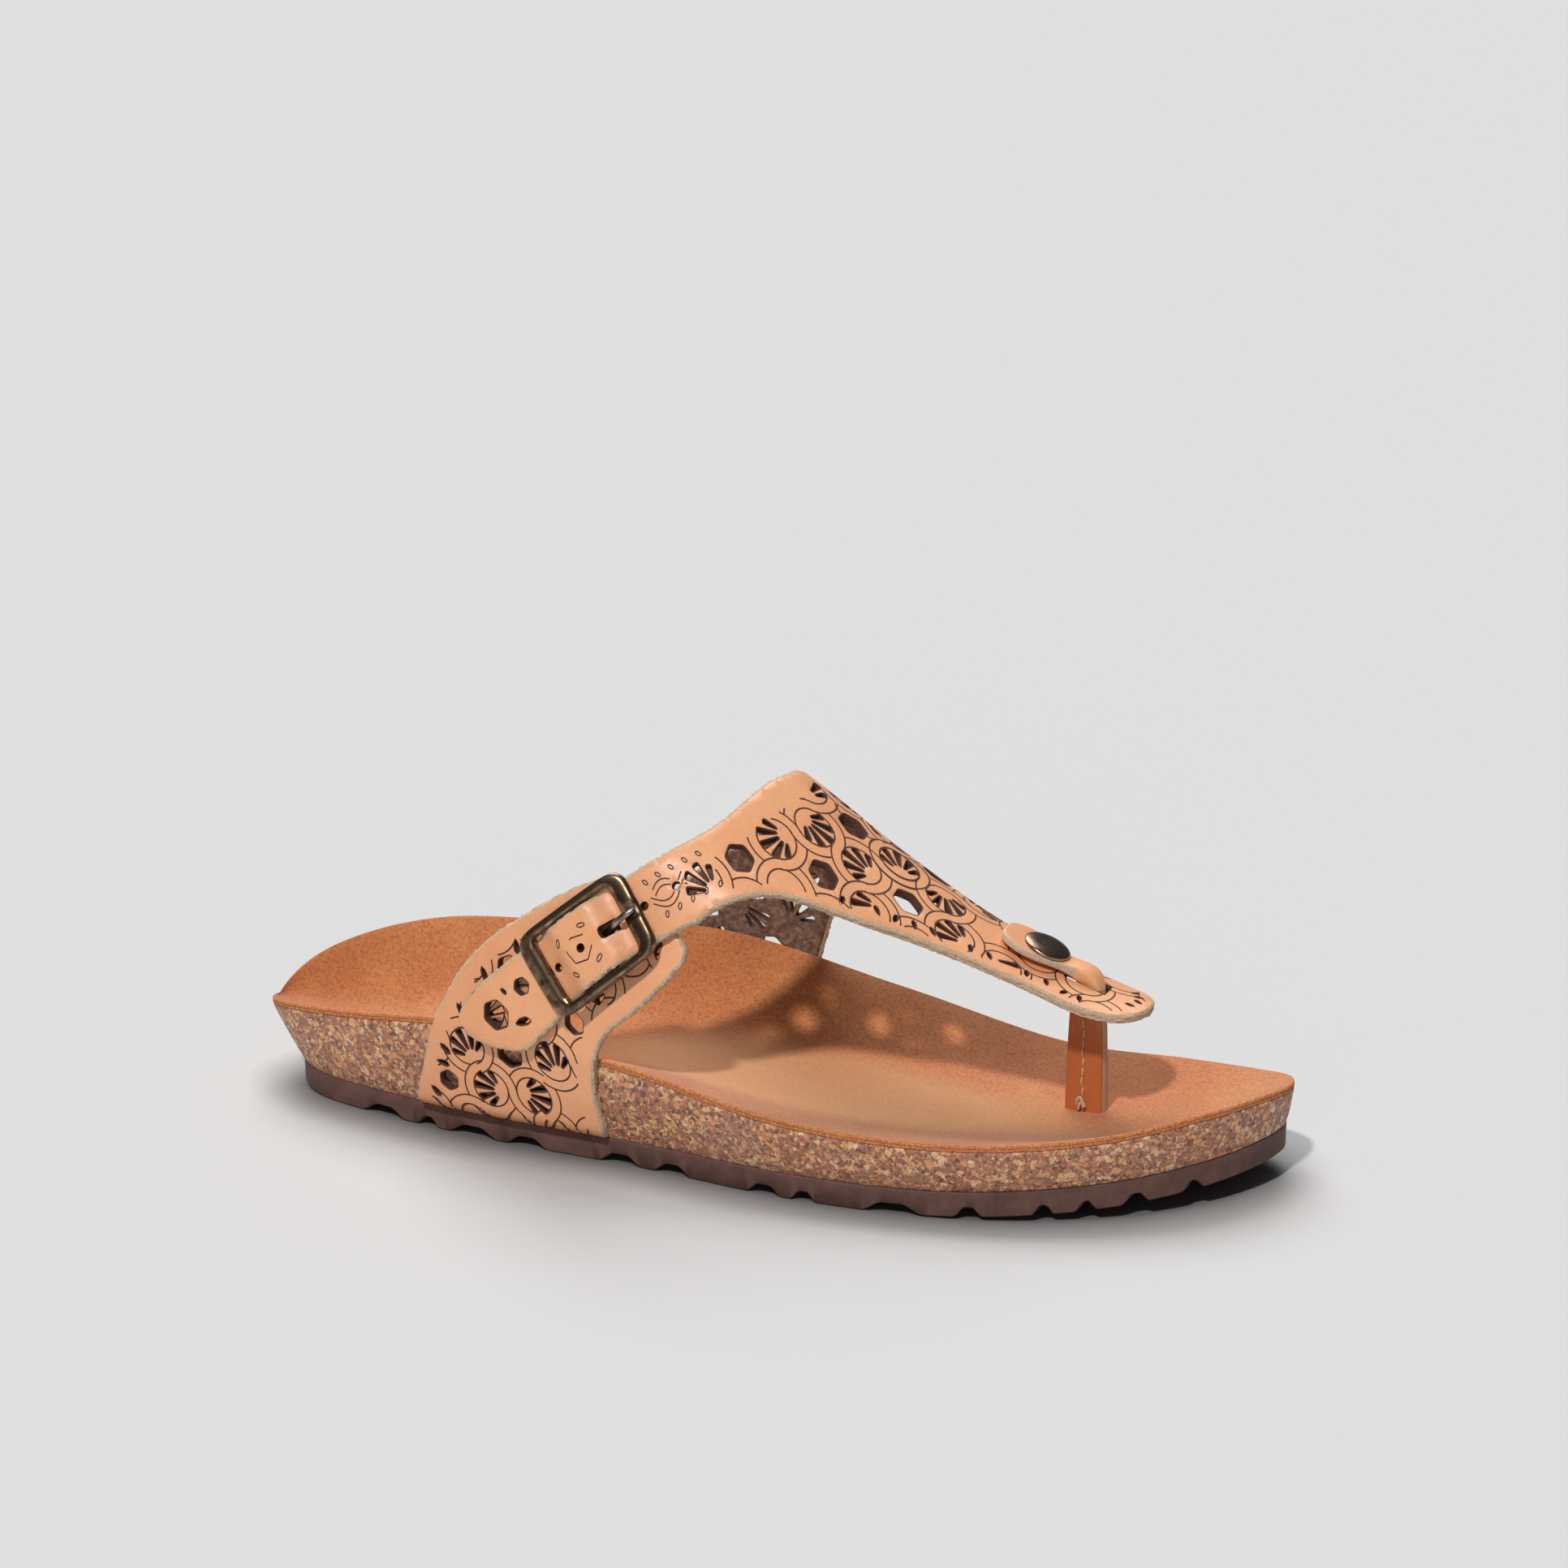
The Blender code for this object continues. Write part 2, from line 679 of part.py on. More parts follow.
def footbed_rows():
    return [SOLE_LENGTH * (1 - math.cos(math.pi * k / ROWS)) / 2 for k in range(ROWS + 1)]


def post_cutter(clearance):
    size = (POST_WIDTH + 2 * clearance, POST_THICKNESS + 2 * clearance, 2 * ARCH_RIM)
    place = Matrix.Translation((POST_AT, POST_ASIDE, 0)) @ Matrix.Rotation(POST_TWIST, 4, "Z")
    return add_object("post_slot", box((0, 0, 0), size, place), smooth=False)


def make_insole():
    def top(x, t):
        return x, across(x, t), bed_height(x, t)

    def bottom(x, t):
        return x, across(x, t), bed_height(x, t) - INSOLE_THICKNESS
    item = add_object("insole", grid_solid(footbed_rows(), COLUMNS, top, bottom), "suede")
    boolean(item, post_cutter(GAP), "DIFFERENCE")


def make_midsole(margins):
    def top(x, t):
        return x, across(x, t), bed_height(x, t) - INSOLE_THICKNESS - 1.5 * GAP

    def bottom(x, t):
        low_x = HEEL_RAKE + x / SOLE_LENGTH * LOW_LENGTH
        return low_x, low_across(low_x, t), sole_line(low_x)
    item = add_object("midsole", grid_solid(footbed_rows(), COLUMNS, top, bottom), "cork")
    boolean(item, post_cutter(GAP), "DIFFERENCE")
    for cutter in margins:
        boolean(item, cutter, "DIFFERENCE")


def tread_height(share):
    """How far the underside is drawn up at a share of the outsole's length."""
    lift = HEEL_LIFT * max(0, 1 - share / 0.04) ** 2
    for groove in GROOVES:
        flank = 0.28 * (groove.end - groove.start)
        up = min(share - groove.start, groove.end - share) / flank
        lift += TREAD_DEPTH * clamp(up, 0, 1)
    return lift


def make_outsole():
    shares = []
    for groove in GROOVES:
        flank = 0.28 * (groove.end - groove.start)
        shares += [groove.start, groove.start + flank, groove.end - flank, groove.end]
    rounds = [(1 - math.cos(math.pi * k / ROWS)) / 2 for k in range(ROWS + 1)]
    shares += [share for share in rounds if all(abs(share - other) > 0.006 for other in shares)]
    shares.sort()

    def top(share, t):
        x = HEEL_RAKE + share * LOW_LENGTH
        return x, low_across(x, t), sole_line(x) - GAP

    def bottom(share, t):
        bow = TREAD_WAVE * math.sin(math.pi * share) * (1 - t * t) * math.cos(2.2 * math.pi * t)
        x = HEEL_RAKE + share * LOW_LENGTH + bow
        return x, low_across(x, t), toe_spring(x) + tread_height(share)
    add_object("outsole", grid_solid(shares, TREAD_COLUMNS, top, bottom), "eva")


# Side panel and upper strap

def panel_outline():
    edge = edge_points(PANEL_EDGE)
    return run(edge, 2) + lasted_edge(edge[-1], edge[0], -1)


def cut_field(holes, outline, border, field, place, blocked=()):
    """Adds to holes those of the interlace that keep clear of the edge and of each other."""
    for hole in openwork(place, field.rows, field.columns):
        if fits(hole, outline, border, holes + list(blocked), BRIDGE):
            holes.append(hole)


def side_field(field, side):
    def place(a, b):
        return at_sole(field.x * SOLE_LENGTH + a, field.up * INSTEP_HEIGHT + b, side)
    return place


def panel_holes(outline):
    holes = [[buckle_pattern(a * CHAPE_SLOT, b * CHAPE_REACH) for a, b in SQUARE]]
    cut_field(holes, outline, EDGE_BORDER, PANEL_FIELD, side_field(PANEL_FIELD, -1), [sole_band(-1)])
    return holes


def sole_band(side):
    """The strip at the bend, where no hole is cut."""
    start, end = 0.1 * SOLE_LENGTH, 0.6 * SOLE_LENGTH
    steps = spaced(start, end, MESH_STEP)
    low = (1.5 if side < 0 else 2) * LEATHER
    return ([at_sole(x, low, side) for x in steps]
            + [at_sole(x, -LASTING_MARGIN, side) for x in reversed(steps)])


def strap_outline():
    """The upper strap: inner panel, instep band, toe arm and tail."""
    half = STRAP_WIDTH / 2
    straight = spaced(TAIL[0].p * TAIL_LENGTH, -TAIL[0].p * TAIL_LENGTH, 0.12 * FRAME_LENGTH)[1:]
    tail = [buckle_pattern(p, half) for p in reversed(straight)]
    tail += run([buckle_pattern(row.p * TAIL_LENGTH, row.q * STRAP_WIDTH) for row in TAIL], 2)
    tail += [buckle_pattern(p, -half) for p in straight]
    rear = edge_points(STRAP_REAR)
    front = edge_points(STRAP_FRONT)
    return tail[:-1] + run([tail[-1]] + rear, 2) + lasted_edge(rear[-1], front[0], 1) + run(front, 2)


def strap_holes(outline):
    holes = []
    for k in range(-1, 4):
        p = HOLE_PITCH * (k - 0.126)
        if k == 1:
            slot = (0.3 * HOLE_PITCH, PRONG_THICKNESS / 2 + 2 * GAP)
            holes.append([buckle_pattern(p - 0.6 * MM + a * slot[0], b * slot[1]) for a, b in SQUARE])
        else:
            holes.append([buckle_pattern(a, b) for a, b in disc((p, 0), HOLE_RADIUS, 8)])
    rivet_at = POST_AT - RIVET_BACK
    holes.append(disc((rivet_at, 0), RIVET_STEM + GAP, 10))
    holes.append(slit_loop(1.5 * GAP))
    under_buckle = [buckle_pattern(a * 0.66 * FRAME_LENGTH, b * STRAP_WIDTH / 2) for a, b in SQUARE]
    under_tab = [(POST_AT - 0.35 * TAB_LENGTH + a * 0.75 * TAB_LENGTH, b * 0.55 * TAB_WIDTH)
                 for a, b in SQUARE]
    blocked = [under_buckle, under_tab, sole_band(1)]

    def place_top(a, b):
        return TOP_FIELD.x * SOLE_LENGTH + a, TOP_FIELD.up * INSTEP_HEIGHT + b

    def place_tail(a, b):
        return buckle_pattern(a - 0.76 * TAIL_LENGTH, b)
    cut_field(holes, outline, EDGE_BORDER, TOP_FIELD, place_top, blocked)
    cut_field(holes, outline, EDGE_BORDER, INNER_FIELD, side_field(INNER_FIELD, 1), blocked)
    cut_field(holes, outline, 0.6 * EDGE_BORDER, Field(0, 0, 1, 1), place_tail, blocked)
    return holes


def slit_loop(clearance):
    """The slit in the arm that the toe post passes through."""
    half_x = 0.8 * POST_WIDTH / 2 + 0.5 * LEATHER + clearance
    half_s = 0.8 * POST_THICKNESS / 2 + 0.8 * POST_WIDTH / 2 * abs(math.sin(POST_TWIST)) + clearance
    return [(POST_AT + a * half_x, b * half_s) for a, b in SQUARE]


def last_grid(side):
    """Points over one side of the last: closer on the bend at the sole."""
    arch = spaced(0.4 * MESH_STEP, ARCH_SPAN, MESH_STEP)
    bend = [ARCH_SPAN + WALL_SPAN + BEND_LENGTH * share for share in (0, 0.5, 1)]
    return [(x, side * v) for x in spaced(0.17 * SOLE_LENGTH, 0.9 * SOLE_LENGTH, MESH_STEP) for v in arch + bend]


def buckle_grid():
    """Points that let the strap rise over the centre bar and lie flat under the end bars."""
    points = []
    for p in spaced(-0.48 * FRAME_LENGTH, 0.48 * FRAME_LENGTH, 0.12 * FRAME_LENGTH):
        for q in (-0.3 * STRAP_WIDTH, 0, 0.3 * STRAP_WIDTH):
            x, s = buckle_pattern(p, q)
            points.append((x, spread(x, s)))
    return points


def make_panel():
    outline = panel_outline()
    leather("side_panel", outline, panel_holes(outline), lambda x, s: 0, last_grid(-1))


def strap_grid():
    near_buckle = [(x, spread(x, s)) for x, s in
                   [buckle_pattern(a * 0.52 * FRAME_LENGTH, b * STRAP_WIDTH) for a, b in SQUARE]]
    rest = [point for point in last_grid(-1) + last_grid(1) if distance_to_loop(point, near_buckle) < 0]
    return rest + buckle_grid()


def make_strap():
    outline = strap_outline()
    leather("upper_strap", outline, strap_holes(outline), strap_rise, strap_grid())


def margin_cutters():
    """The recesses that hold the lasting margins, under the cork."""
    made = []
    for side, first, last in ((-1, PANEL_EDGE[0], PANEL_EDGE[-1]), (1, STRAP_REAR[-1], STRAP_FRONT[0])):
        start, end = first.x * SOLE_LENGTH - 2 * GAP, last.x * SOLE_LENGTH + 2 * GAP
        bm = bmesh.new()
        rings = []
        for x in spaced(start, end, MESH_STEP):
            inner = low_across(x, side) - side * (LASTING_MARGIN + 2 * GAP)
            outer = low_across(x, side) + side * LASTING_MARGIN
            top = sole_line(x) + LEATHER + 2 * GAP
            low = sole_line(x) - LEATHER
            rings.append([bm.verts.new((x, y, z)) for y, z in
                          ((inner, low), (outer, low), (outer, top), (inner, top))])
        for a, b in zip(rings, rings[1:]):
            for k in range(4):
                bm.faces.new((a[k], a[(k + 1) % 4], b[(k + 1) % 4], b[k]))
        bm.faces.new(rings[0])
        bm.faces.new(reversed(rings[-1]))
        made.append(add_object("margin_recess", bm, smooth=False))
    return made


# Buckle

CHAPE_SLOT = LOOP_RADIUS + GAP
CHAPE_REACH = 0.465 * STRAP_WIDTH
FRAME_LOW = STRAP_REST + LEATHER + GAP
FRAME_TOP = FRAME_LOW + FRAME_THICKNESS


def lay_buckle(bm):
    for vert in bm.verts:
        vert.co = buckle_point(*vert.co)
    bmesh.ops.triangulate(bm, faces=bm.faces)


def frame_rings():
    """Middle, outward direction, half width, underside and top of each section round the ring."""
    half_p = (FRAME_LENGTH - END_BAR) / 2
    half_q = STRAP_WIDTH / 2 + GAP + RAIL / 2
    side_p, side_q = half_p - FRAME_CORNER, half_q - FRAME_CORNER
    bar_low = BAR_LEVEL - CENTRE_BAR_RADIUS
    notch = 0.8 * PRONG_THICKNESS
    rings = []
    for quarter, (a, b) in enumerate(((1, 1), (-1, 1), (-1, -1), (1, -1))):
        for k in range(5):
            angle = (quarter + k / 4) * math.pi / 2
            out = Vector((math.cos(angle), math.sin(angle)))
            middle = Vector((a * side_p, b * side_q)) + out * FRAME_CORNER
            half_width = (RAIL + (END_BAR - RAIL) * ease(abs(out.x), 0.2, 0.9)) / 2
            rings.append((middle, out, half_width, FRAME_LOW, FRAME_TOP))
        if quarter in (0, 2):
            for share, low in ((0.4, FRAME_LOW), (0.18, bar_low), (-0.18, bar_low), (-0.4, FRAME_LOW)):
                middle = Vector((a * side_p * share, b * half_q))
                rings.append((middle, Vector((0, b)), RAIL / 2, low, FRAME_TOP))
        elif quarter == 1:
            for share in (0.5, 0, -0.5):
                middle = Vector((a * half_p, b * side_q * share))
                rings.append((middle, Vector((a, 0)), END_BAR / 2, FRAME_LOW, FRAME_TOP))
        else:
            for q, top in ((3, FRAME_TOP), (1.5, FRAME_TOP), (1, FRAME_TOP - NOTCH_DEPTH),
                           (-1, FRAME_TOP - NOTCH_DEPTH), (-1.5, FRAME_TOP), (-3, FRAME_TOP)):
                middle = Vector((a * half_p, b * notch * q))
                rings.append((middle, Vector((a, 0)), END_BAR / 2, FRAME_LOW, top))
    return rings


def make_frame():
    """A rounded oblong ring with a lower centre bar. Its end bars lie over the strap."""
    bm = bmesh.new()
    loops = []
    for middle, out, half_width, low, top in frame_rings():
        shoulder = top - 0.3 * FRAME_THICKNESS
        profile = ((-1, low), (-1, shoulder), (-0.45, top), (0.45, top), (1, shoulder), (1, low))
        loops.append([bm.verts.new((*(middle + out * side * half_width), z)) for side, z in profile])
    for a, b in zip(loops, loops[1:] + loops[:1]):
        for k in range(6):
            bm.faces.new((a[k], a[(k + 1) % 6], b[(k + 1) % 6], b[k]))
    frame = add_object("buckle_frame", bm, "brass")
    bar = bmesh.new()
    bmesh.ops.create_cone(bar, cap_ends=True, segments=10, radius1=CENTRE_BAR_RADIUS,
                          radius2=CENTRE_BAR_RADIUS, depth=STRAP_WIDTH + 2 * GAP + RAIL)
    bmesh.ops.rotate(bar, matrix=Matrix.Rotation(math.pi / 2, 3, "X"), verts=bar.verts)
    bmesh.ops.translate(bar, vec=(0, 0, BAR_LEVEL + 0.05 * CENTRE_BAR_RADIUS), verts=bar.verts)
    boolean(frame, add_object("centre_bar", bar), "UNION")
    bake(frame)


def bake(item):
    """Applies the modifiers of a piece made in buckle coordinates, then lays it in place."""
    graph = bpy.context.evaluated_depsgraph_get()
    bm = bmesh.new()
    bm.from_mesh(bpy.data.meshes.new_from_object(item.evaluated_get(graph)))
    item.modifiers.clear()
    lay_buckle(bm)
    bmesh.ops.recalc_face_normals(bm, faces=bm.faces)
    bm.to_mesh(item.data)
    bm.free()


def swept_profile(name, loops, half_width, material_name):
    """A profile in (p, w), given its width across the strap."""
    bm = flat_solid(loops, 2 * half_width)
    for vert in bm.verts:
        p, w, q = vert.co
        vert.co = (p, q, w)
    return add_object(name, bm, material_name)


def make_chape():
    """The leather loop round the centre bar, with its flange behind the side panel."""
    outer = []
    for k in range(13):
        angle = math.radians(-50 + k * 280 / 12)
        outer.append((LOOP_RADIUS * math.cos(angle), BAR_LEVEL + LOOP_RADIUS * math.sin(angle)))
    stem = outer[0][0]
    back, face = -GAP, -GAP - CHAPE_THICKNESS
    flange = CHAPE_FLANGE
    profile = [(stem, back), *outer, (-stem, back), (-flange, back), (-flange, face), (flange, face),
               (flange, back)]
    hole = disc((0, BAR_LEVEL), CENTRE_BAR_RADIUS + GAP, 10)
    item = swept_profile("chape", [profile, hole], CHAPE_REACH - GAP, "leather")
    notch = box((0, 0, FRAME_TOP / 2), (FRAME_LENGTH, PRONG_THICKNESS + 4 * GAP, FRAME_TOP))
    boolean(item, add_object("chape_notch", notch, smooth=False), "DIFFERENCE")
    bake(item)


def make_prong():
    """A bent pin: an eye on the centre bar, a shank through the strap's hole, a tip on the far bar."""
    half = PRONG_THICKNESS / 2
    inner = CENTRE_BAR_RADIUS + GAP
    eye = inner + 0.5 * PRONG_THICKNESS
    tip = FRAME_LENGTH / 2 - 0.25 * END_BAR
    bar_edge = FRAME_LENGTH / 2 - END_BAR
    over = FRAME_TOP - NOTCH_DEPTH + GAP
    upper = [(0.7 * eye, BAR_LEVEL + 0.6 * eye), (0.138 * FRAME_LENGTH, BAR_LEVEL + half),
             (0.197 * FRAME_LENGTH, BAR_LEVEL + 2 * half),
             (bar_edge - 1.1 * PRONG_THICKNESS, over + 0.6 * PRONG_THICKNESS),
             (bar_edge + 0.25 * PRONG_THICKNESS, over + PRONG_THICKNESS),
             (tip - half, over + PRONG_THICKNESS), (tip, over + half)]
    lower = [(tip, over), (bar_edge, over), (bar_edge - 0.45 * PRONG_THICKNESS, over - 0.4 * PRONG_THICKNESS),
             (0.226 * FRAME_LENGTH, BAR_LEVEL), (0.164 * FRAME_LENGTH, BAR_LEVEL - half),
             (0.8 * eye, BAR_LEVEL - 0.5 * eye)]
    ring = [(eye * math.cos(a), BAR_LEVEL + eye * math.sin(a))
            for a in (math.radians(-60 - 30 * k) for k in range(8))]
    item = swept_profile("buckle_prong", [upper + lower + ring, disc((0, BAR_LEVEL), inner, 10)], half, "brass")
    bake(item)


# Toe post, its tab and the rivet

SECTION_SHAPE = ((1, 0.55), (0.75, 1), (-0.75, 1), (-1, 0.55), (-1, -0.55), (-0.75, -1), (0.75, -1), (1, -0.55))


def arm_point(x, s, w):
    return offset_point(x, spread(x, s), w)


def make_post():
    """The folded strip: up from the outsole, through the arm's slit, then back over the arm as a tab."""
    side = Vector((math.cos(POST_TWIST), math.sin(POST_TWIST), 0))
    thick = Vector((-math.sin(POST_TWIST), math.cos(POST_TWIST), 0))
    foot = Vector((POST_AT, POST_ASIDE, sole_line(POST_AT) + GAP))
    through = arm_point(POST_AT, 0, LEATHER / 2)
    sections = []
    for share in (0, 0.35, 0.7, 1):
        point = foot.lerp(through, share)
        narrow = 1 - 0.2 * share ** 2
        sections.append((point, side * POST_WIDTH / 2 * narrow, thick * POST_THICKNESS / 2 * narrow))
    above = LEATHER + WALL_GAP + TAB_THICKNESS / 2
    for row in FOLDS:
        point = arm_point(POST_AT - row.back * POST_WIDTH, 0, row.up * POST_WIDTH)
        lean = Vector((math.cos(math.radians(row.lean)), 0, math.sin(math.radians(row.lean))))
        sections.append((point, lean * row.deep * TAB_THICKNESS, thick * row.wide * TAB_THICKNESS))
    for row in TABS:
        x = POST_AT - row.back * TAB_LENGTH
        point = arm_point(x, 0, above)
        ahead = arm_point(x, MM, above) - point
        up = (arm_point(x, 0, above + MM) - point).normalized()
        sections.append((point, up * TAB_THICKNESS / 2, ahead.normalized() * TAB_WIDTH / 2 * row.width))
    bm = bmesh.new()
    rings = []
    for centre, wide, deep in sections:
        rings.append([bm.verts.new(centre + wide * a + deep * b) for a, b in SECTION_SHAPE])
    count = len(SECTION_SHAPE)
    for a, b in zip(rings, rings[1:]):
        for k in range(count):
            bm.faces.new((a[k], a[(k + 1) % count], b[(k + 1) % count], b[k]))
    bm.faces.new(rings[0])
    bm.faces.new(reversed(rings[-1]))
    bmesh.ops.triangulate(bm, faces=bm.faces)
    post = add_object("toe_post", bm, "leather")
    boolean(post, rivet_hole(), "DIFFERENCE")


def rivet_place():
    """Stands a shape made on the Z axis on the arm at the rivet."""
    x = POST_AT - RIVET_BACK
    base = arm_point(x, 0, 0)
    up = (arm_point(x, 0, MM) - base).normalized()
    return Matrix.Translation(base) @ up.to_track_quat("Z", "Y").to_matrix().to_4x4()


def rivet_hole():
    bm = bmesh.new()
    radius = RIVET_STEM + GAP
    bmesh.ops.create_cone(bm, cap_ends=True, segments=16, radius1=radius, radius2=radius,
                          depth=10 * TAB_THICKNESS)
    bmesh.ops.transform(bm, matrix=rivet_place(), verts=bm.verts)
    return add_object("rivet_hole", bm)


def make_rivet():
    """A domed cap, stem and tail: a profile turned on the rivet's axis."""
    under_cap = LEATHER + TAB_THICKNESS + WALL_GAP + 2 * GAP
    tail = -2 * GAP
    foot = 0.6 * RIVET_RADIUS
    profile = [(0, tail - RIVET_TAIL), (foot, tail - RIVET_TAIL), (foot, tail), (RIVET_STEM, tail),
               (RIVET_STEM, under_cap), (RIVET_RADIUS, under_cap)]
    for k in range(6):
        angle = math.radians(18 * k)
        height = under_cap + RIVET_EDGE + RIVET_HEIGHT * math.sin(angle)
        profile.append((RIVET_RADIUS * max(0, math.cos(angle)), height))
    mesh = bpy.data.meshes.new("toe_rivet")
    mesh.from_pydata([(radius, 0, z) for radius, z in profile], [(k, k + 1) for k in range(len(profile) - 1)], [])
    mesh.materials.append(materials["brass"])
    rivet = bpy.data.objects.new("toe_rivet", mesh)
    parts.objects.link(rivet)
    screw = rivet.modifiers.new("turn", "SCREW")
    screw.steps = 24
    screw.render_steps = 24
    screw.use_merge_vertices = True
    screw.merge_threshold = 0.00001
    screw.use_normal_calculate = True
    rivet.matrix_world = rivet_place()


def build():
    make_insole()
    make_midsole(margin_cutters())
    make_outsole()
    make_panel()
    make_strap()
    make_frame()
    make_chape()
    make_prong()
    make_post()
    make_rivet()


def centre_all():
    """Puts the middle of the sole's plan over the origin."""
    outer = max(half_lateral(x) for x in footbed_rows())
    inner = max(half_medial(x) for x in footbed_rows())
    shift = Matrix.Translation((-SOLE_LENGTH / 2, (outer - inner) / 2, 0))
    for item in parts.objects[:] + cutters.objects[:]:
        if item.name == "toe_rivet":
            item.matrix_world = shift @ item.matrix_world
        else:
            item.data.transform(shift)


clear_scene()
parts = collection("toe_post_sandal")
cutters = collection("cutters")
materials = {name: material(name) for name in COLOURS}
build()
centre_all()
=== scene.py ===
"""Looks of the right toe-post sandal: finer leather, sole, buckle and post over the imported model.

Shapes are worked out in the part's own measures, with the heel at x = 0, and moved by CENTRE at the end.
Leather is cut flat, as outline and holes in (x, s), where s runs over the instep from its crown:
s < 0 on the outer side, s > 0 on the inner side. It is then laid over the last.
"""
import math
from collections import namedtuple

import bmesh
import bpy
import numpy as np
from mathutils import Matrix, Vector
from mathutils.geometry import delaunay_2d_cdt


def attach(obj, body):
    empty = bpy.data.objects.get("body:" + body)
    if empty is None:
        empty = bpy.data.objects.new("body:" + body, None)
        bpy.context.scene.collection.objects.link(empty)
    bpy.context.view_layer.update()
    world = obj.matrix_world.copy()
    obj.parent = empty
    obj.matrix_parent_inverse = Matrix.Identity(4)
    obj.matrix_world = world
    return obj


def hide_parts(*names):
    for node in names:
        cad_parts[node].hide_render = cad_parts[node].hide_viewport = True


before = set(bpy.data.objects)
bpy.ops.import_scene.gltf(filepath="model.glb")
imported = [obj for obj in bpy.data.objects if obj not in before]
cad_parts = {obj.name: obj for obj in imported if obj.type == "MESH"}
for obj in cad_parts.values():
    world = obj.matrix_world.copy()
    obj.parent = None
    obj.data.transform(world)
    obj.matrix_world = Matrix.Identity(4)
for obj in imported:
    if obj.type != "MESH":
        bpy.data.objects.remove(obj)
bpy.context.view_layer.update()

MM = 0.001

# Sizes of the part, as in its source
SOLE_LENGTH = 262 * MM
BALL_WIDTH = 88 * MM
ARCH_RIM = 40 * MM
OUTSOLE_THICKNESS = 6.5 * MM
TREAD_DEPTH = 2.4 * MM
TREAD_WAVE = 5 * MM
TOE_SPRING = 7 * MM
HEEL_LIFT = 1.5 * MM
HEEL_RAKE = 8 * MM
SIDE_RAKE = 3 * MM
TOE_RAKE = 1.5 * MM
INSOLE_THICKNESS = 1.6 * MM
GAP = 0.35 * MM
WALL_GAP = 0.6 * MM
INSTEP_HEIGHT = 107 * MM
LEATHER = 2.4 * MM
LASTING_MARGIN = 9 * MM
BEND_RADIUS = 1.2 * MM
EDGE_BORDER = 2.8 * MM
PANEL_BORDER = 4.6 * MM
PITCH = 12 * MM
STRAP_WIDTH = 17 * MM
TAIL_LENGTH = 40.7 * MM
FRAME_LENGTH = 30.5 * MM
END_BAR = 4 * MM
RAIL = 2 * MM
FRAME_THICKNESS = 2.4 * MM
FRAME_CORNER = 3.2 * MM
NOTCH_DEPTH = 0.6 * MM
CENTRE_BAR_RADIUS = 0.9 * MM
PRONG_THICKNESS = 1.6 * MM
CHAPE_THICKNESS = 0.8 * MM
HOLE_PITCH = 8.7 * MM
HOLE_RADIUS = 1.0 * MM
BUCKLE_AT = 0.389 * SOLE_LENGTH
BUCKLE_HEIGHT = 0.4645 * INSTEP_HEIGHT
BUCKLE_ANGLE = math.radians(39.5)
POST_AT = 0.809 * SOLE_LENGTH
POST_ASIDE = 0.085 * BALL_WIDTH
POST_WIDTH = 10.5 * MM
POST_THICKNESS = 4.8 * MM
POST_TWIST = math.radians(-10)
TAB_THICKNESS = 2.2 * MM
TAB_WIDTH = 15.5 * MM
TAB_LENGTH = 23 * MM
RIVET_BACK = 12.5 * MM
RIVET_RADIUS = 6 * MM
RIVET_HEIGHT = 1.5 * MM
RIVET_STEM = 1.6 * MM

# Sizes of the finer detail
CUT_ROUND = 0.55 * MM
HOLE_ROUND = 0.10 * MM
LINE_WIDTH = 0.42 * MM
LINE_LIFT = 0.03 * MM
BURN_WIDTH = 0.18 * MM
INNER_TOP = 35 * MM
EDGE_STEP = 0.7 * MM
EDGE_FUZZ = 0.13 * MM
BAND_INNER = 0.40
BAND_OUTER = 0.61
HEX_RADIUS = 0.30
HEX_ROUND = 0.7 * MM
SLIT_CLOSED = 0.65 * MM
BAR_EXTRA = 0.35 * MM
RAIL_EXTRA = 0.30 * MM
SLIT_BRIDGE = 0.55 * MM
THREAD_RADIUS = 0.24 * MM
ENGRAVED_WIDTH = 0.32 * MM
TWIST_START = 18.5 * MM
TWIST_END = 27.5 * MM
TWIST_PITCH = 5.2 * MM
PRESSED_LENGTH = 95 * MM
PRESSED_WIDTH = 32 * MM
CORK_WARP = 1.6 * MM

# The photograph's camera
PHOTO_SIZE = 1932
FOCAL_PIXELS = 6999.4
CAMERA_AZIMUTH = math.radians(20.2)
CAMERA_ELEVATION = math.radians(16.6)
CAMERA_DISTANCE = 1.4
TARGET_PIXEL = (940.2, 1320.3)
TARGET_HEIGHT = 15 * MM
FLOOR_HALF = 30

Station = namedtuple("Station", "x lateral medial rim_lateral rim_medial bed")
STATIONS = [Station(*row) for row in (
    (0, 0, 0, 0.51, 0.51, 0.51), (0.03, 0.176, 0.197, 0.6, 0.72, 0.45),
    (0.12, 0.293, 0.361, 0.68, 0.86, 0.39), (0.25, 0.382, 0.366, 0.77, 0.93, 0.4),
    (0.41, 0.446, 0.38, 0.68, 0.98, 0.48), (0.59, 0.536, 0.432, 0.52, 0.7, 0.37),
    (0.75, 0.519, 0.475, 0.49, 0.43, 0.32), (0.87, 0.392, 0.431, 0.54, 0.45, 0.35),
    (0.95, 0.198, 0.338, 0.61, 0.51, 0.46), (0.99, 0.001, 0.25, 0.62, 0.56, 0.56),
    (1, -0.141, 0.141, 0.59, 0.59, 0.59),
)]
Crown = namedtuple("Crown", "x height offset")
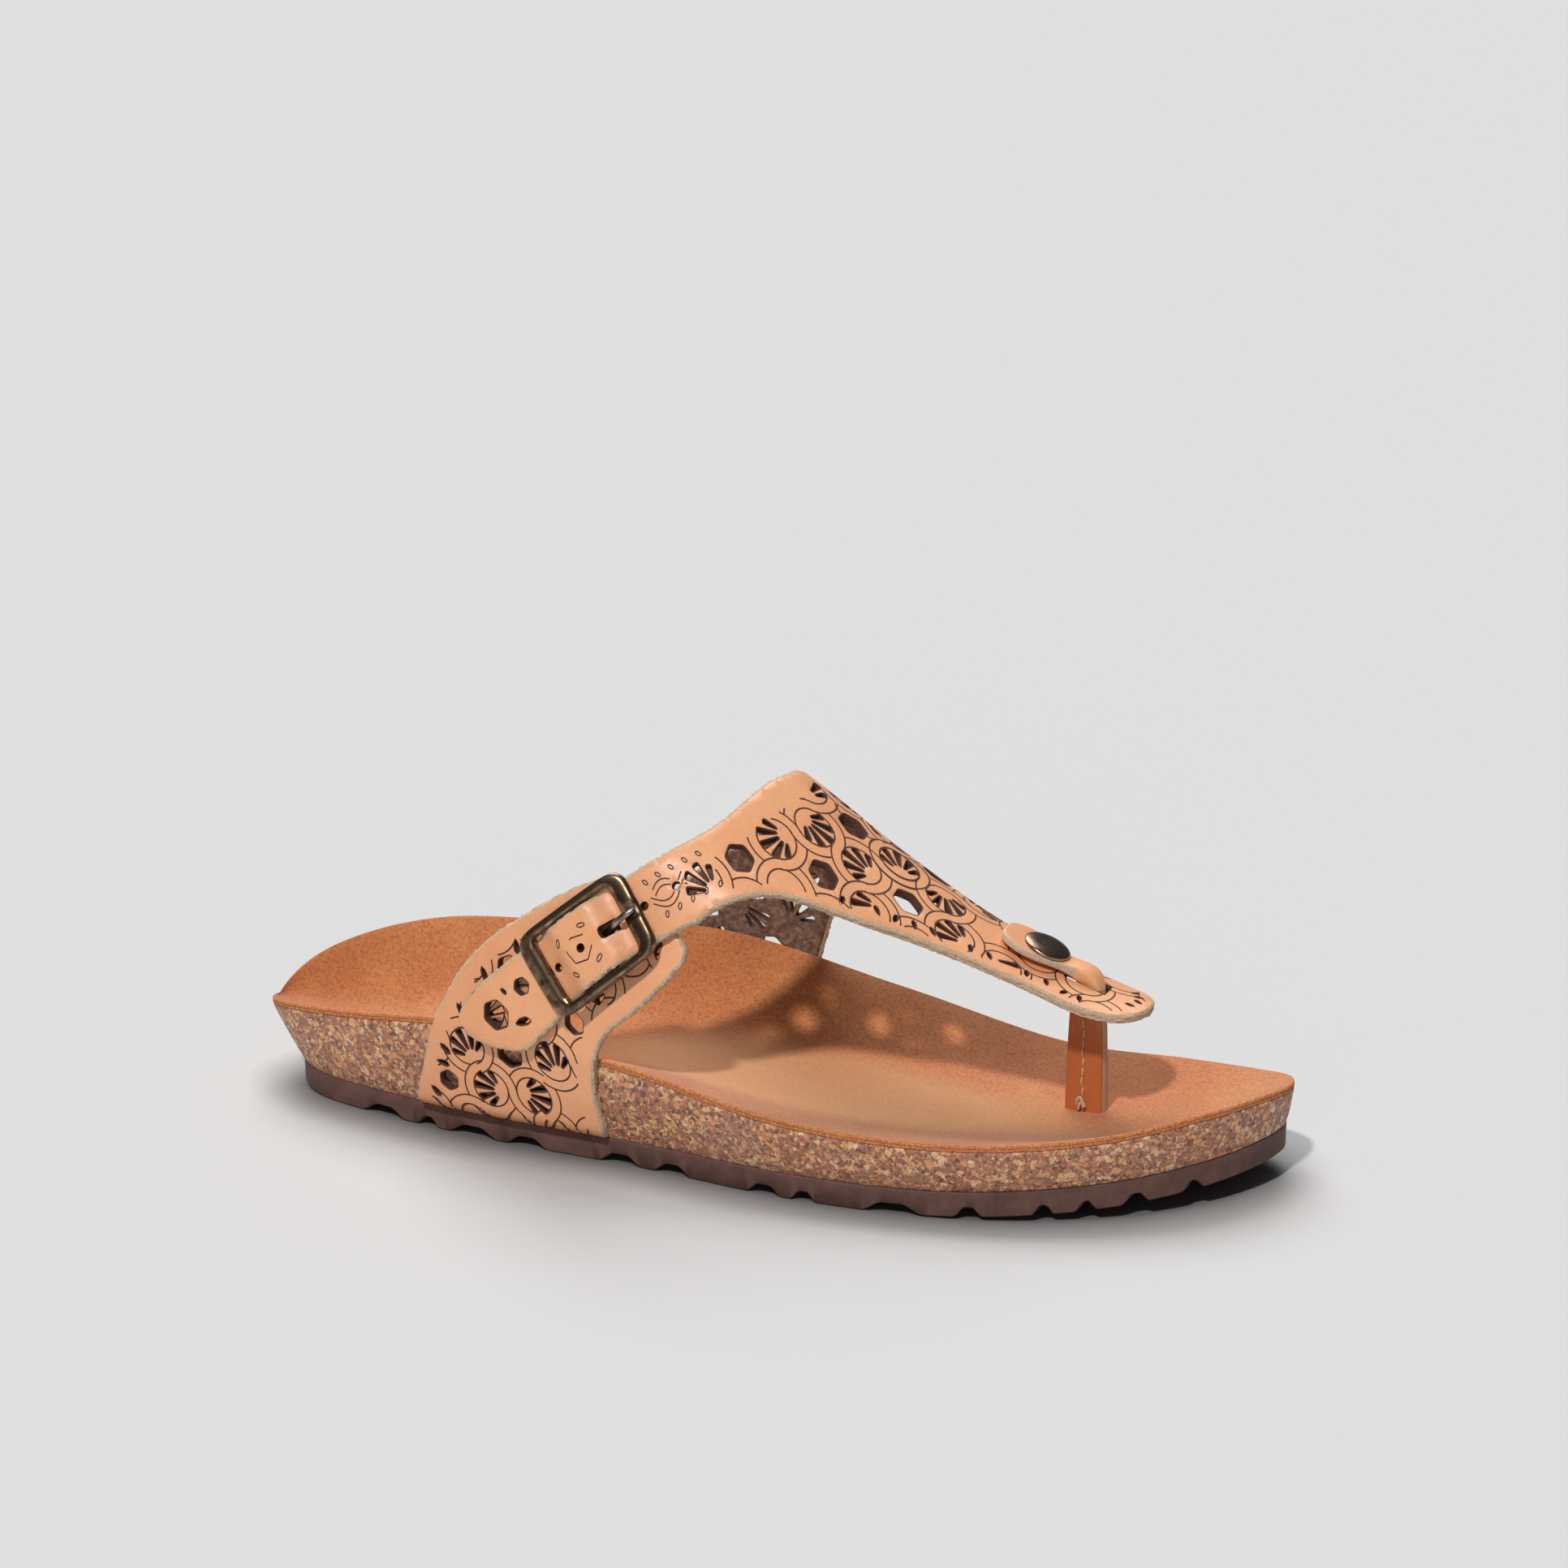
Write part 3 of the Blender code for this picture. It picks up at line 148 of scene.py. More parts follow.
CROWNS = [Crown(*row) for row in (
    (0.15, 1.15, 0.02), (0.38, 1.002, 0.06), (0.52, 0.824, 0.08), (0.61, 0.666, 0.08),
    (0.69, 0.538, 0.08), (0.76, 0.451, 0.08), (0.84, 0.379, 0.08), (0.9, 0.35, 0.08),
)]
Groove = namedtuple("Groove", "start end")
GROOVES = [Groove(*row) for row in (
    (0.095, 0.15), (0.162, 0.19), (0.198, 0.257), (0.265, 0.313), (0.368, 0.416), (0.428, 0.471),
    (0.531, 0.57), (0.578, 0.606), (0.65, 0.713), (0.741, 0.768), (0.812, 0.832), (0.85, 0.868),
    (0.889, 0.911), (0.936, 0.952),
)]
Edge = namedtuple("Edge", "x over")
PANEL_EDGE = [Edge(*row) for row in (
    (0.197, -1), (0.208, -0.922), (0.219, -0.844), (0.235, -0.773), (0.254, -0.702), (0.279, -0.638),
    (0.313, -0.576), (0.347, -0.519), (0.378, -0.473), (0.397, -0.452), (0.414, -0.452), (0.447, -0.489),
    (0.473, -0.539), (0.479, -0.569), (0.471, -0.609), (0.439, -0.704), (0.412, -0.763), (0.4, -0.803),
    (0.393, -0.856), (0.392, -0.926), (0.398, -1),
)]
STRAP_REAR = [Edge(*row) for row in (
    (0.456, -0.344), (0.479, -0.268), (0.494, -0.188), (0.506, -0.085), (0.515, 0), (0.515, 0.132),
    (0.492, 0.299), (0.45, 0.434), (0.405, 0.537), (0.351, 0.686), (0.324, 0.818), (0.311, 0.926),
    (0.305, 1),
)]
STRAP_FRONT = [Edge(*row) for row in (
    (0.502, 1), (0.502, 0.909), (0.504, 0.801), (0.511, 0.699), (0.531, 0.52), (0.553, 0.436),
    (0.588, 0.371), (0.626, 0.331), (0.664, 0.298), (0.71, 0.266), (0.763, 0.248), (0.809, 0.261),
    (0.844, 0.231), (0.863, 0.139), (0.87, 0), (0.863, -0.112), (0.844, -0.183), (0.809, -0.205),
    (0.763, -0.195), (0.71, -0.217), (0.664, -0.256), (0.626, -0.295), (0.588, -0.326), (0.548, -0.362),
    (0.511, -0.428), (0.489, -0.489),
)]
Tail = namedtuple("Tail", "p q")
TAIL = [Tail(*row) for row in (
    (-0.344, 0.52), (-0.452, 0.58), (-0.59, 0.618), (-0.708, 0.629), (-0.799, 0.518), (-0.916, 0.271),
    (-1, -0.035), (-1, -0.276), (-0.943, -0.372), (-0.735, -0.482), (-0.59, -0.506), (-0.344, -0.5),
)]
Field = namedtuple("Field", "x up rows columns")
PANEL_FIELD = Field(0.236, 0.088, 7, 7)
INNER_FIELD = Field(0.325, 0.068, 7, 6)
TOP_FIELD = Field(0.440, -0.410, 10, 12)
Fold = namedtuple("Fold", "back up lean deep wide")
FOLDS = [Fold(*row) for row in (
    (0.05, 0.38, 30, 1.18, 1.32), (0.32, 0.41, 70, 0.77, 1.5),
)]
Tab = namedtuple("Tab", "back width")
TABS = [Tab(*row) for row in (
    (0.28, 0.48), (0.39, 0.62), (0.54, 0.86), (0.7, 1), (0.85, 0.92), (0.96, 0.66), (1, 0.35),
)]
FAN_LEANS = (-54, -27, 0, 27, 54)
FAN_BACK = 0.26
FAN_REACH = 0.385
TAIL_HEXAGON = (-20.9 * MM, -1.8 * MM)
TAIL_LEAVES = ((-25.6 * MM, 5.3 * MM, 4.4 * MM, 0.35), (-25.8 * MM, -3.4 * MM, 1.8 * MM, 1.3))
TAIL_LEAF = ((-0.5, 0), (-0.2, -0.20), (0.2, -0.24), (0.5, 0), (0.2, 0.14), (-0.2, 0.12))
TICK_LEAF = ((-0.5, 0), (-0.25, -0.13), (0.1, -0.19), (0.35, -0.15), (0.5, 0), (0.35, 0.15), (0.1, 0.19),
             (-0.25, 0.13))
ARCH_POWER = 1.8
SQUARE = ((-1, -1), (1, -1), (1, 1), (-1, 1))


# The last, on whole arrays

def smooth_curve(xs, ys):
    """A smooth function through the points, by cubic pieces with averaged slopes."""
    xs, ys = np.array(xs, float), np.array(ys, float)
    steps = np.diff(xs)
    rises = np.diff(ys) / steps
    inner = (steps[1:] * rises[:-1] + steps[:-1] * rises[1:]) / (steps[1:] + steps[:-1])
    slopes = np.concatenate((rises[:1], inner, rises[-1:]))

    def value(x):
        k = np.clip(np.searchsorted(xs, x) - 1, 0, len(steps) - 1)
        t = (x - xs[k]) / steps[k]
        start = (1 + 2 * t) * (1 - t) ** 2 * ys[k] + t * (1 - t) ** 2 * steps[k] * slopes[k]
        end = t * t * (3 - 2 * t) * ys[k + 1] + t * t * (t - 1) * steps[k] * slopes[k + 1]
        return start + end
    return value


def ease(value, start, end):
    t = np.clip((value - start) / (end - start), 0, 1)
    return t * t * (3 - 2 * t)


def turn(share):
    return np.arccos(np.clip(1 - 2 * np.asarray(share, float), -1, 1))


def station_curve(name, size):
    curve = smooth_curve([turn(row.x) for row in STATIONS], [getattr(row, name) * size for row in STATIONS])
    return lambda x: curve(turn(np.asarray(x) / SOLE_LENGTH))


def crown_curve(name, size):
    xs = [row.x * SOLE_LENGTH for row in CROWNS]
    return smooth_curve(xs, [getattr(row, name) * size for row in CROWNS])


half_lateral = station_curve("lateral", BALL_WIDTH)
half_medial = station_curve("medial", BALL_WIDTH)
rim_lateral = station_curve("rim_lateral", ARCH_RIM)
rim_medial = station_curve("rim_medial", ARCH_RIM)
bed_centre = station_curve("bed", ARCH_RIM)
crown_height = crown_curve("height", INSTEP_HEIGHT)
crown_offset = crown_curve("offset", BALL_WIDTH)
LOW_LENGTH = SOLE_LENGTH - HEEL_RAKE - TOE_RAKE
ROW_XS = SOLE_LENGTH * (1 - np.cos(np.linspace(0, math.pi, 27))) / 2
CENTRE = Vector((-SOLE_LENGTH / 2, (half_lateral(ROW_XS).max() - half_medial(ROW_XS).max()) / 2, 0))


def across(x, t):
    low, high = -half_lateral(x), half_medial(x)
    return low + (high - low) * (np.asarray(t) + 1) / 2


def low_across(low_x, t):
    share = np.clip((low_x - HEEL_RAKE) / LOW_LENGTH, 0, 1)
    return across(share * SOLE_LENGTH, t) - SIDE_RAKE * np.sqrt(np.sin(turn(share))) * t


def bed_height(x, t):
    rim = np.where(np.asarray(t) < 0, rim_lateral(x), rim_medial(x))
    rise = np.abs(t) ** 3 * (2 - np.asarray(t) ** 2)
    return bed_centre(x) + (rim - bed_centre(x)) * rise


def toe_spring(x):
    return TOE_SPRING * np.maximum(0, (x / SOLE_LENGTH - 0.64) / 0.36) ** 2


def sole_line(x):
    return OUTSOLE_THICKNESS + toe_spring(x)


ARCH_SPAN = 100 * MM
WALL_SPAN = 24 * MM
BEND_LENGTH = BEND_RADIUS * math.pi / 2
LAST_XS = np.arange(0.15 * SOLE_LENGTH, 0.92 * SOLE_LENGTH, 1 * MM)
WALL_END = ARCH_SPAN + WALL_SPAN
BEND_END = WALL_END + BEND_LENGTH
HALF_VS = np.concatenate((
    np.linspace(0, ARCH_SPAN, 101), np.linspace(ARCH_SPAN, WALL_END, 25)[1:],
    np.linspace(WALL_END, BEND_END, 7)[1:], np.linspace(BEND_END, BEND_END + LASTING_MARGIN, 6)[1:]))


def lengths_along(points):
    return np.concatenate(([0], np.cumsum(np.hypot(*np.diff(points, axis=0).T))))


def section(x, side):
    """The last's outline at x: its points, lengths along it, and the lengths of crown to rim and to bend."""
    top_y, top_z = crown_offset(x), crown_height(x)
    rim_y = -WALL_GAP - half_lateral(x) if side < 0 else WALL_GAP + half_medial(x)
    rim_z = rim_lateral(x) if side < 0 else rim_medial(x)
    margin_z = sole_line(x) + LEATHER
    bend_share = (LEATHER + BEND_RADIUS) / (rim_z - sole_line(x))
    sole_y = low_across(x, side) + side * WALL_GAP
    low_y = sole_y + (rim_y - sole_y) * bend_share
    angle = np.linspace(0, math.pi / 2, 65)
    out, up = np.sin(angle) ** (2 / ARCH_POWER), np.maximum(np.cos(angle), 0) ** (2 / ARCH_POWER)
    arch = np.stack((top_y + (rim_y - top_y) * out, rim_z + (top_z - rim_z) * up), 1)
    angle = np.linspace(0, math.pi / 2, 7)
    bend = np.stack((low_y - side * BEND_RADIUS * (1 - np.cos(angle)),
                     margin_z + BEND_RADIUS * (1 - np.sin(angle))), 1)
    points = np.vstack((arch, bend, [[low_y - side * LASTING_MARGIN, margin_z]]))
    lengths = lengths_along(points)
    return points, lengths, lengths[64], lengths[65]


def half_table(side):
    """Rows of surface points over one side, for LAST_XS by HALF_VS, and the two lengths of each row."""
    rows, spans = [], []
    for x in LAST_XS:
        points, lengths, arch, wall = section(x, side)
        distance = np.interp(HALF_VS, (0, ARCH_SPAN, WALL_END), (0, arch, wall))
        distance += np.maximum(0, HALF_VS - WALL_END)
        rows.append(np.stack((np.full(len(HALF_VS), x), np.interp(distance, lengths, points[:, 0]),
                              np.interp(distance, lengths, points[:, 1])), 1))
        spans.append((arch, wall, lengths[-1]))
    return np.array(rows), np.array(spans).T


OUTER_TABLE, OUTER_SPANS = half_table(-1)
INNER_TABLE, INNER_SPANS = half_table(1)
LAST_VS = np.concatenate((-HALF_VS[::-1], HALF_VS[1:]))
LAST_TABLE = np.concatenate((OUTER_TABLE[:, ::-1], INNER_TABLE[:, 1:]), 1)


def table_normals():
    along = np.gradient(LAST_TABLE, LAST_XS, axis=0)
    over = np.gradient(LAST_TABLE, LAST_VS, axis=1)
    normals = np.cross(along, over)
    return normals / np.linalg.norm(normals, axis=2, keepdims=True)


LAST_NORMALS = table_normals()


def on_last(x, v, w):
    """Points w outside the last, for arrays x, v and w."""
    x, v = np.asarray(x, float), np.asarray(v, float)
    fx = np.clip((x - LAST_XS[0]) / MM, 0, len(LAST_XS) - 1.001)
    i = fx.astype(int)
    j = np.clip(np.searchsorted(LAST_VS, v) - 1, 0, len(LAST_VS) - 2)
    a = (fx - i)[..., None]
    b = ((v - LAST_VS[j]) / (LAST_VS[j + 1] - LAST_VS[j]))[..., None]

    def blend(table):
        return ((table[i, j] * (1 - a) + table[i + 1, j] * a) * (1 - b)
                + (table[i, j + 1] * (1 - a) + table[i + 1, j + 1] * a) * b)
    normal = blend(LAST_NORMALS)
    normal /= np.linalg.norm(normal, axis=-1, keepdims=True)
    return blend(LAST_TABLE) + normal * np.asarray(w)[..., None]


def span(x, side, which):
    """A length of the section at x: 0 crown to rim, 1 crown to bend, 2 the whole."""
    return np.interp(x, LAST_XS, (OUTER_SPANS if side < 0 else INNER_SPANS)[which])


def spread(points):
    """Pattern points (x, s) as (x, v), in which rim and bend are at the same v for every x."""
    points = np.asarray(points, float)
    x, s = points[:, 0], points[:, 1]
    arch = np.where(s < 0, span(x, -1, 0), span(x, 1, 0))
    wall = np.where(s < 0, span(x, -1, 1), span(x, 1, 1))
    d = np.abs(s)
    v = np.where(d <= arch, d / arch * ARCH_SPAN, ARCH_SPAN + (d - arch) / (wall - arch) * WALL_SPAN)
    v = np.where(d > wall, WALL_END + d - wall, v)
    return np.stack((x, np.sign(s) * v), 1)


def unspread(x, v):
    arch = np.where(v < 0, span(x, -1, 0), span(x, 1, 0))
    wall = np.where(v < 0, span(x, -1, 1), span(x, 1, 1))
    d = np.abs(v)
    s = np.where(d <= ARCH_SPAN, d / ARCH_SPAN * arch, arch + (d - ARCH_SPAN) / WALL_SPAN * (wall - arch))
    return np.sign(v) * np.where(d > WALL_END, wall + d - WALL_END, s)


def reach(x, side):
    return span(x, side, 1) + LEATHER + BEND_RADIUS


def at_sole(x, height, side=-1):
    return x, side * (reach(x, side) - height)


def edge_points(rows):
    points = []
    for row in rows:
        side = -1 if row.over < 0 else 1
        points.append((row.x * SOLE_LENGTH, row.over * span(row.x * SOLE_LENGTH, side, 1)))
    return points


def lasted_edge(first, last, side):
    def bend(x):
        return [(x, side * (span(x, side, 1) + share * BEND_LENGTH)) for share in (0.33, 0.67, 1)]
    steps = np.linspace(first[0], last[0], 30)
    return bend(first[0]) + [(x, side * span(x, side, 2)) for x in steps] + bend(last[0])[::-1]


def buckle_pattern(p, q):
    x = BUCKLE_AT + p * math.cos(BUCKLE_ANGLE) + q * math.sin(BUCKLE_ANGLE)
    height = BUCKLE_HEIGHT + p * math.sin(BUCKLE_ANGLE) - q * math.cos(BUCKLE_ANGLE)
    return at_sole(x, height)


def buckle_points(pqw):
    pqw = np.asarray(pqw, float)
    x, s = buckle_pattern(pqw[:, 0], pqw[:, 1])
    sheet = spread(np.stack((x, s), 1))
    return on_last(sheet[:, 0], sheet[:, 1], pqw[:, 2])


STRAP_REST = LEATHER + 1.2 * GAP
BAR_LEVEL = LEATHER + GAP + CENTRE_BAR_RADIUS
LOOP_RADIUS = CENTRE_BAR_RADIUS + GAP + CHAPE_THICKNESS
HUMP = BAR_LEVEL + LOOP_RADIUS + GAP - STRAP_REST
HUMP_START = 0.12 * FRAME_LENGTH
HUMP_END = 0.34 * FRAME_LENGTH
CHAPE_SLOT = LOOP_RADIUS + GAP
CHAPE_REACH = 0.465 * STRAP_WIDTH
FRAME_LOW = STRAP_REST + LEATHER + GAP
FRAME_TOP = FRAME_LOW + FRAME_THICKNESS


def strap_rise(x, s):
    rise = STRAP_REST * ease(-s, 0.24 * INSTEP_HEIGHT, 0.43 * INSTEP_HEIGHT)
    height = reach(x, -1) + s
    p = (x - BUCKLE_AT) * math.cos(BUCKLE_ANGLE) + (height - BUCKLE_HEIGHT) * math.sin(BUCKLE_ANGLE)
    hump = HUMP * (1 - ease(np.abs(p), HUMP_START, HUMP_END))
    return rise + np.where(s < -0.28 * INSTEP_HEIGHT, hump, 0)


def flat_rise(x, s):
    return np.zeros_like(x)


# Flat shapes

def run(points, steps=4):
    """A smooth open run through the points."""
    result = []
    last = len(points) - 1
    for k in range(last):
        p0, p1 = points[max(k - 1, 0)], points[k]
        p2, p3 = points[k + 1], points[min(k + 2, last)]
        for j in range(steps):
            t = j / steps
            result.append(tuple(
                0.5 * (2 * b + (c - a) * t + (2 * a - 5 * b + 4 * c - d) * t * t
                       + (3 * b - a - 3 * c + d) * t ** 3)
                for a, b, c, d in zip(p0, p1, p2, p3)))
    return result + [tuple(points[-1])]


def disc(centre, radius, sides, start=0.0):
    return [(centre[0] + radius * math.cos(angle), centre[1] + radius * math.sin(angle))
            for angle in circle(sides, start)]


def rounded(loop, radius, steps=3):
    """The loop with each corner cut back by radius and rounded."""
    result = []
    count = len(loop)
    for k in range(count):
        a, b, c = (np.array(loop[(k + n) % count], float) for n in (-1, 0, 1))
        back = min(radius, 0.45 * np.linalg.norm(a - b))
        ahead = min(radius, 0.45 * np.linalg.norm(c - b))
        start = b + (a - b) / np.linalg.norm(a - b) * back
        end = b + (c - b) / np.linalg.norm(c - b) * ahead
        for j in range(steps + 1):
            t = j / steps
            result.append(tuple(start * (1 - t) ** 2 + 2 * b * t * (1 - t) + end * t * t))
    return result


def loop_distance(points, loop):
    """Distances of points to a closed outline, negative outside it."""
    points = np.asarray(points, float)
    a = np.asarray(loop, float)
    b = np.roll(a, -1, axis=0)
    nearest = np.full(len(points), 1.0)
    within = np.zeros(len(points), bool)
    px, py = points[:, 0], points[:, 1]
    for (ax, ay), (bx, by) in zip(a, b):
        ex, ey = bx - ax, by - ay
        t = np.clip(((px - ax) * ex + (py - ay) * ey) / (ex * ex + ey * ey + 1e-18), 0, 1)
        nearest = np.minimum(nearest, np.hypot(px - ax - t * ex, py - ay - t * ey))
        if by != ay:
            within ^= ((ay > py) != (by > py)) & (px < ax + (py - ay) * ex / (by - ay))
    return np.where(within, nearest, -nearest)


def within(points, loop, margin):
    """Which points lie in the loop or less than margin outside it. Only those near it are measured."""
    centre = loop.mean(0)
    near = np.linalg.norm(points - centre, axis=1) < np.abs(loop - centre).max() * 1.5 + 2 * MM
    result = np.zeros(len(points), bool)
    result[near] = -loop_distance(points[near], loop) < margin
    return result


def fits(hole, outline, border, taken, bridge):
    if (loop_distance(hole, outline) < border).any():
        return False
    centre = np.mean(hole, axis=0)
    for other in taken:
        size = np.ptp(np.array(other), axis=0).max()
        if np.linalg.norm(np.mean(other, axis=0) - centre) > size + PITCH:
            continue
        if (-loop_distance(list(hole) + [centre], other) < bridge).any():
            return False
    return True


def fan(centre, facing):
    """Slits inside a ring that spread from a point near its edge."""
    back, far, near = FAN_BACK * PITCH, FAN_REACH * PITCH, 0.20 * PITCH
    origin = np.array(centre) - back * np.array((math.cos(facing), math.sin(facing)))
    slits = []
    for lean in FAN_LEANS:
        by = math.radians(lean)
        end = back * math.cos(by) + math.sqrt(far ** 2 - (back * math.sin(by)) ** 2)
        along = np.array((math.cos(facing + by), math.sin(facing + by)))
        side = np.array((-along[1], along[0]))
        thin, wide = 0.22 * MM, 0.105 * end + 0.10 * MM
        corners = [origin + along * a + side * b for a, b in (
            (near, -thin), (end, -wide), (end, wide), (near, thin))]
        slits.append(rounded(corners, 0.5 * MM, 2))
    return slits


Site = namedtuple("Site", "centre ring facing")


def sites(place, field):
    """The interlace's grid: a hexagon at every third site and else a ring with a fan."""
    found = []
    for i in range(-1, field.rows + 1):
        for j in range(-1, field.columns + 1):
            centre = place(PITCH * (j + 0.5 * (i % 2)), PITCH * i * math.sqrt(3) / 2)
            ring = (j - i // 2 - i) % 3 != 0
            found.append(Site(centre, ring, math.radians(60 * ((2 * i + 3 * j) % 6))))
    return found


def cut_field(holes, outline, border, found, blocked):
    for site in found:
        if site.ring:
            for hole in fan(site.centre, site.facing):
                if fits(hole, outline, border, holes + blocked, SLIT_BRIDGE):
                    holes.append(hole)
            continue
        for share in (1, 0.75, 0.5):
            hole = disc(site.centre, share * HEX_RADIUS * PITCH, 6, math.radians(30))
            hole = rounded(hole, share * HEX_ROUND)
            if fits(hole, outline, border, holes + blocked, SLIT_BRIDGE):
                holes.append(hole)
                break


def cut_ticks(holes, edge, outline, inner_by, blocked, size):
    """Small leaf cuts in a row along an edge, square to it."""
    edge = np.array(edge)
    lengths = lengths_along(edge)
    for k, at in enumerate(np.arange(4 * MM, lengths[-1] - 3 * MM, 4.4 * MM)):
        point = np.array([np.interp(at, lengths, edge[:, n]) for n in (0, 1)])
        ahead = np.array([np.interp(at + MM, lengths, edge[:, n]) for n in (0, 1)]) - point
        ahead /= np.linalg.norm(ahead)
        inwards = np.array((-ahead[1], ahead[0]))
        if loop_distance([point + inwards * 2 * MM], outline)[0] < 0:
            inwards = -inwards
        lean = (-0.5, 0.35, 0.1)[k % 3]
        along = inwards + ahead * lean
        along /= np.linalg.norm(along)
        side = np.array((-along[1], along[0]))
        middle = point + inwards * (inner_by + (0, 0.5, 0.2)[k % 3] * MM)
        hole = [tuple(middle + along * a * size + side * b * size) for a, b in TICK_LEAF]
        if fits(hole, outline, 2 * MM, holes + blocked, 0.6 * MM):
            holes.append(hole)


def side_place(field, side):
    return lambda a, b: at_sole(field.x * SOLE_LENGTH + a, field.up * INSTEP_HEIGHT + b, side)


def top_place(a, b):
    return TOP_FIELD.x * SOLE_LENGTH + a, TOP_FIELD.up * INSTEP_HEIGHT + b


def tail_place(a, b):
    return buckle_pattern(a - 0.76 * TAIL_LENGTH, b)


def sole_band(side):
    start, end = 0.16 * SOLE_LENGTH, 0.6 * SOLE_LENGTH
    steps = np.linspace(start, end, 24)
    return ([at_sole(x, 1.2 * LEATHER, side) for x in steps]
            + [at_sole(x, -LASTING_MARGIN, side) for x in steps[::-1]])


def panel_outline():
    edge = edge_points(PANEL_EDGE)
    return run(edge, 6) + lasted_edge(edge[-1], edge[0], -1)


def strap_outline():
    half = STRAP_WIDTH / 2
    straight = np.linspace(TAIL[0].p * TAIL_LENGTH, -TAIL[0].p * TAIL_LENGTH, 24)[1:]
    tail = [buckle_pattern(p, half) for p in straight[::-1]]
    tail += run([buckle_pattern(row.p * TAIL_LENGTH, row.q * STRAP_WIDTH) for row in TAIL], 6)
    tail += [buckle_pattern(p, -half) for p in straight]
    rear, front = edge_points(STRAP_REAR), edge_points(STRAP_FRONT)
    return tail[:-1] + run([tail[-1]] + rear, 6) + lasted_edge(rear[-1], front[0], 1) + run(front, 6)


# Meshes

def new_object(name, verts, faces, materials, slots=None, smooth=40):
    """A mesh object in the row's frame that rides on the part."""
    mesh = bpy.data.meshes.new(name)
    faces = [tuple(int(k) for k in face) for face in faces]
    mesh.from_pydata([tuple(Vector(v) + CENTRE) for v in verts], [], faces)
    item = bpy.data.objects.new(name, mesh)
    bpy.context.scene.collection.objects.link(item)
    for made in materials:
        mesh.materials.append(made)
    if slots is not None:
        mesh.polygons.foreach_set("material_index", np.array(slots, np.int32))
    mesh.shade_smooth()
    mesh.set_sharp_from_angle(angle=math.radians(smooth))
    mesh.validate()
    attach(item, "root")
    return item


def mend(item, weld=0.0):
    """Join points closer than weld, drop loose ones and turn all faces outwards."""
    bm = bmesh.new()
    bm.from_mesh(item.data)
    if weld:
        bmesh.ops.remove_doubles(bm, verts=bm.verts, dist=weld)
    loose = [vert for vert in bm.verts if not vert.link_faces]
    bmesh.ops.delete(bm, geom=loose, context="VERTS")
    bmesh.ops.recalc_face_normals(bm, faces=bm.faces)
    bm.to_mesh(item.data)
    bm.free()


def circle(count, start=0.0):
    """Angles of count points all round, evenly spaced from start."""
    return [start + 2 * math.pi * k / count for k in range(count)]


def loft_faces(rows, count, start=0, closed=False):
    """Faces between neighbouring rows of count points, also from the last row to the first if closed."""
    after = list(range(1, rows)) + ([0] if closed else [])
    return [(start + a * count + k, start + a * count + (k + 1) % count,
             start + b * count + (k + 1) % count, start + b * count + k)
            for a, b in zip(range(rows), after) for k in range(count)]


def resampled(loop, step):
    loop = np.vstack((loop, loop[:1]))
    lengths = lengths_along(loop)
    at = np.linspace(0, lengths[-1], int(lengths[-1] / step))[:-1]
    return np.stack([np.interp(at, lengths, loop[:, n]) for n in (0, 1)], 1)


def inset(loop, amount):
    """The loop moved inwards by amount, or outwards where it is negative."""
    loop = np.asarray(loop, float)
    ahead = np.roll(loop, -1, axis=0) - loop
    ahead /= np.maximum(np.linalg.norm(ahead, axis=1, keepdims=True), 1e-9)
    both = ahead + np.roll(ahead, 1, axis=0)
    both /= np.maximum(np.linalg.norm(both, axis=1, keepdims=True), 1e-9)
    area = 0.5 * np.sum(loop[:, 0] * np.roll(loop[:, 1], -1) - np.roll(loop[:, 0], -1) * loop[:, 1])
    normal = np.stack((-both[:, 1], both[:, 0]), 1) * np.sign(area)
    return loop + normal * amount


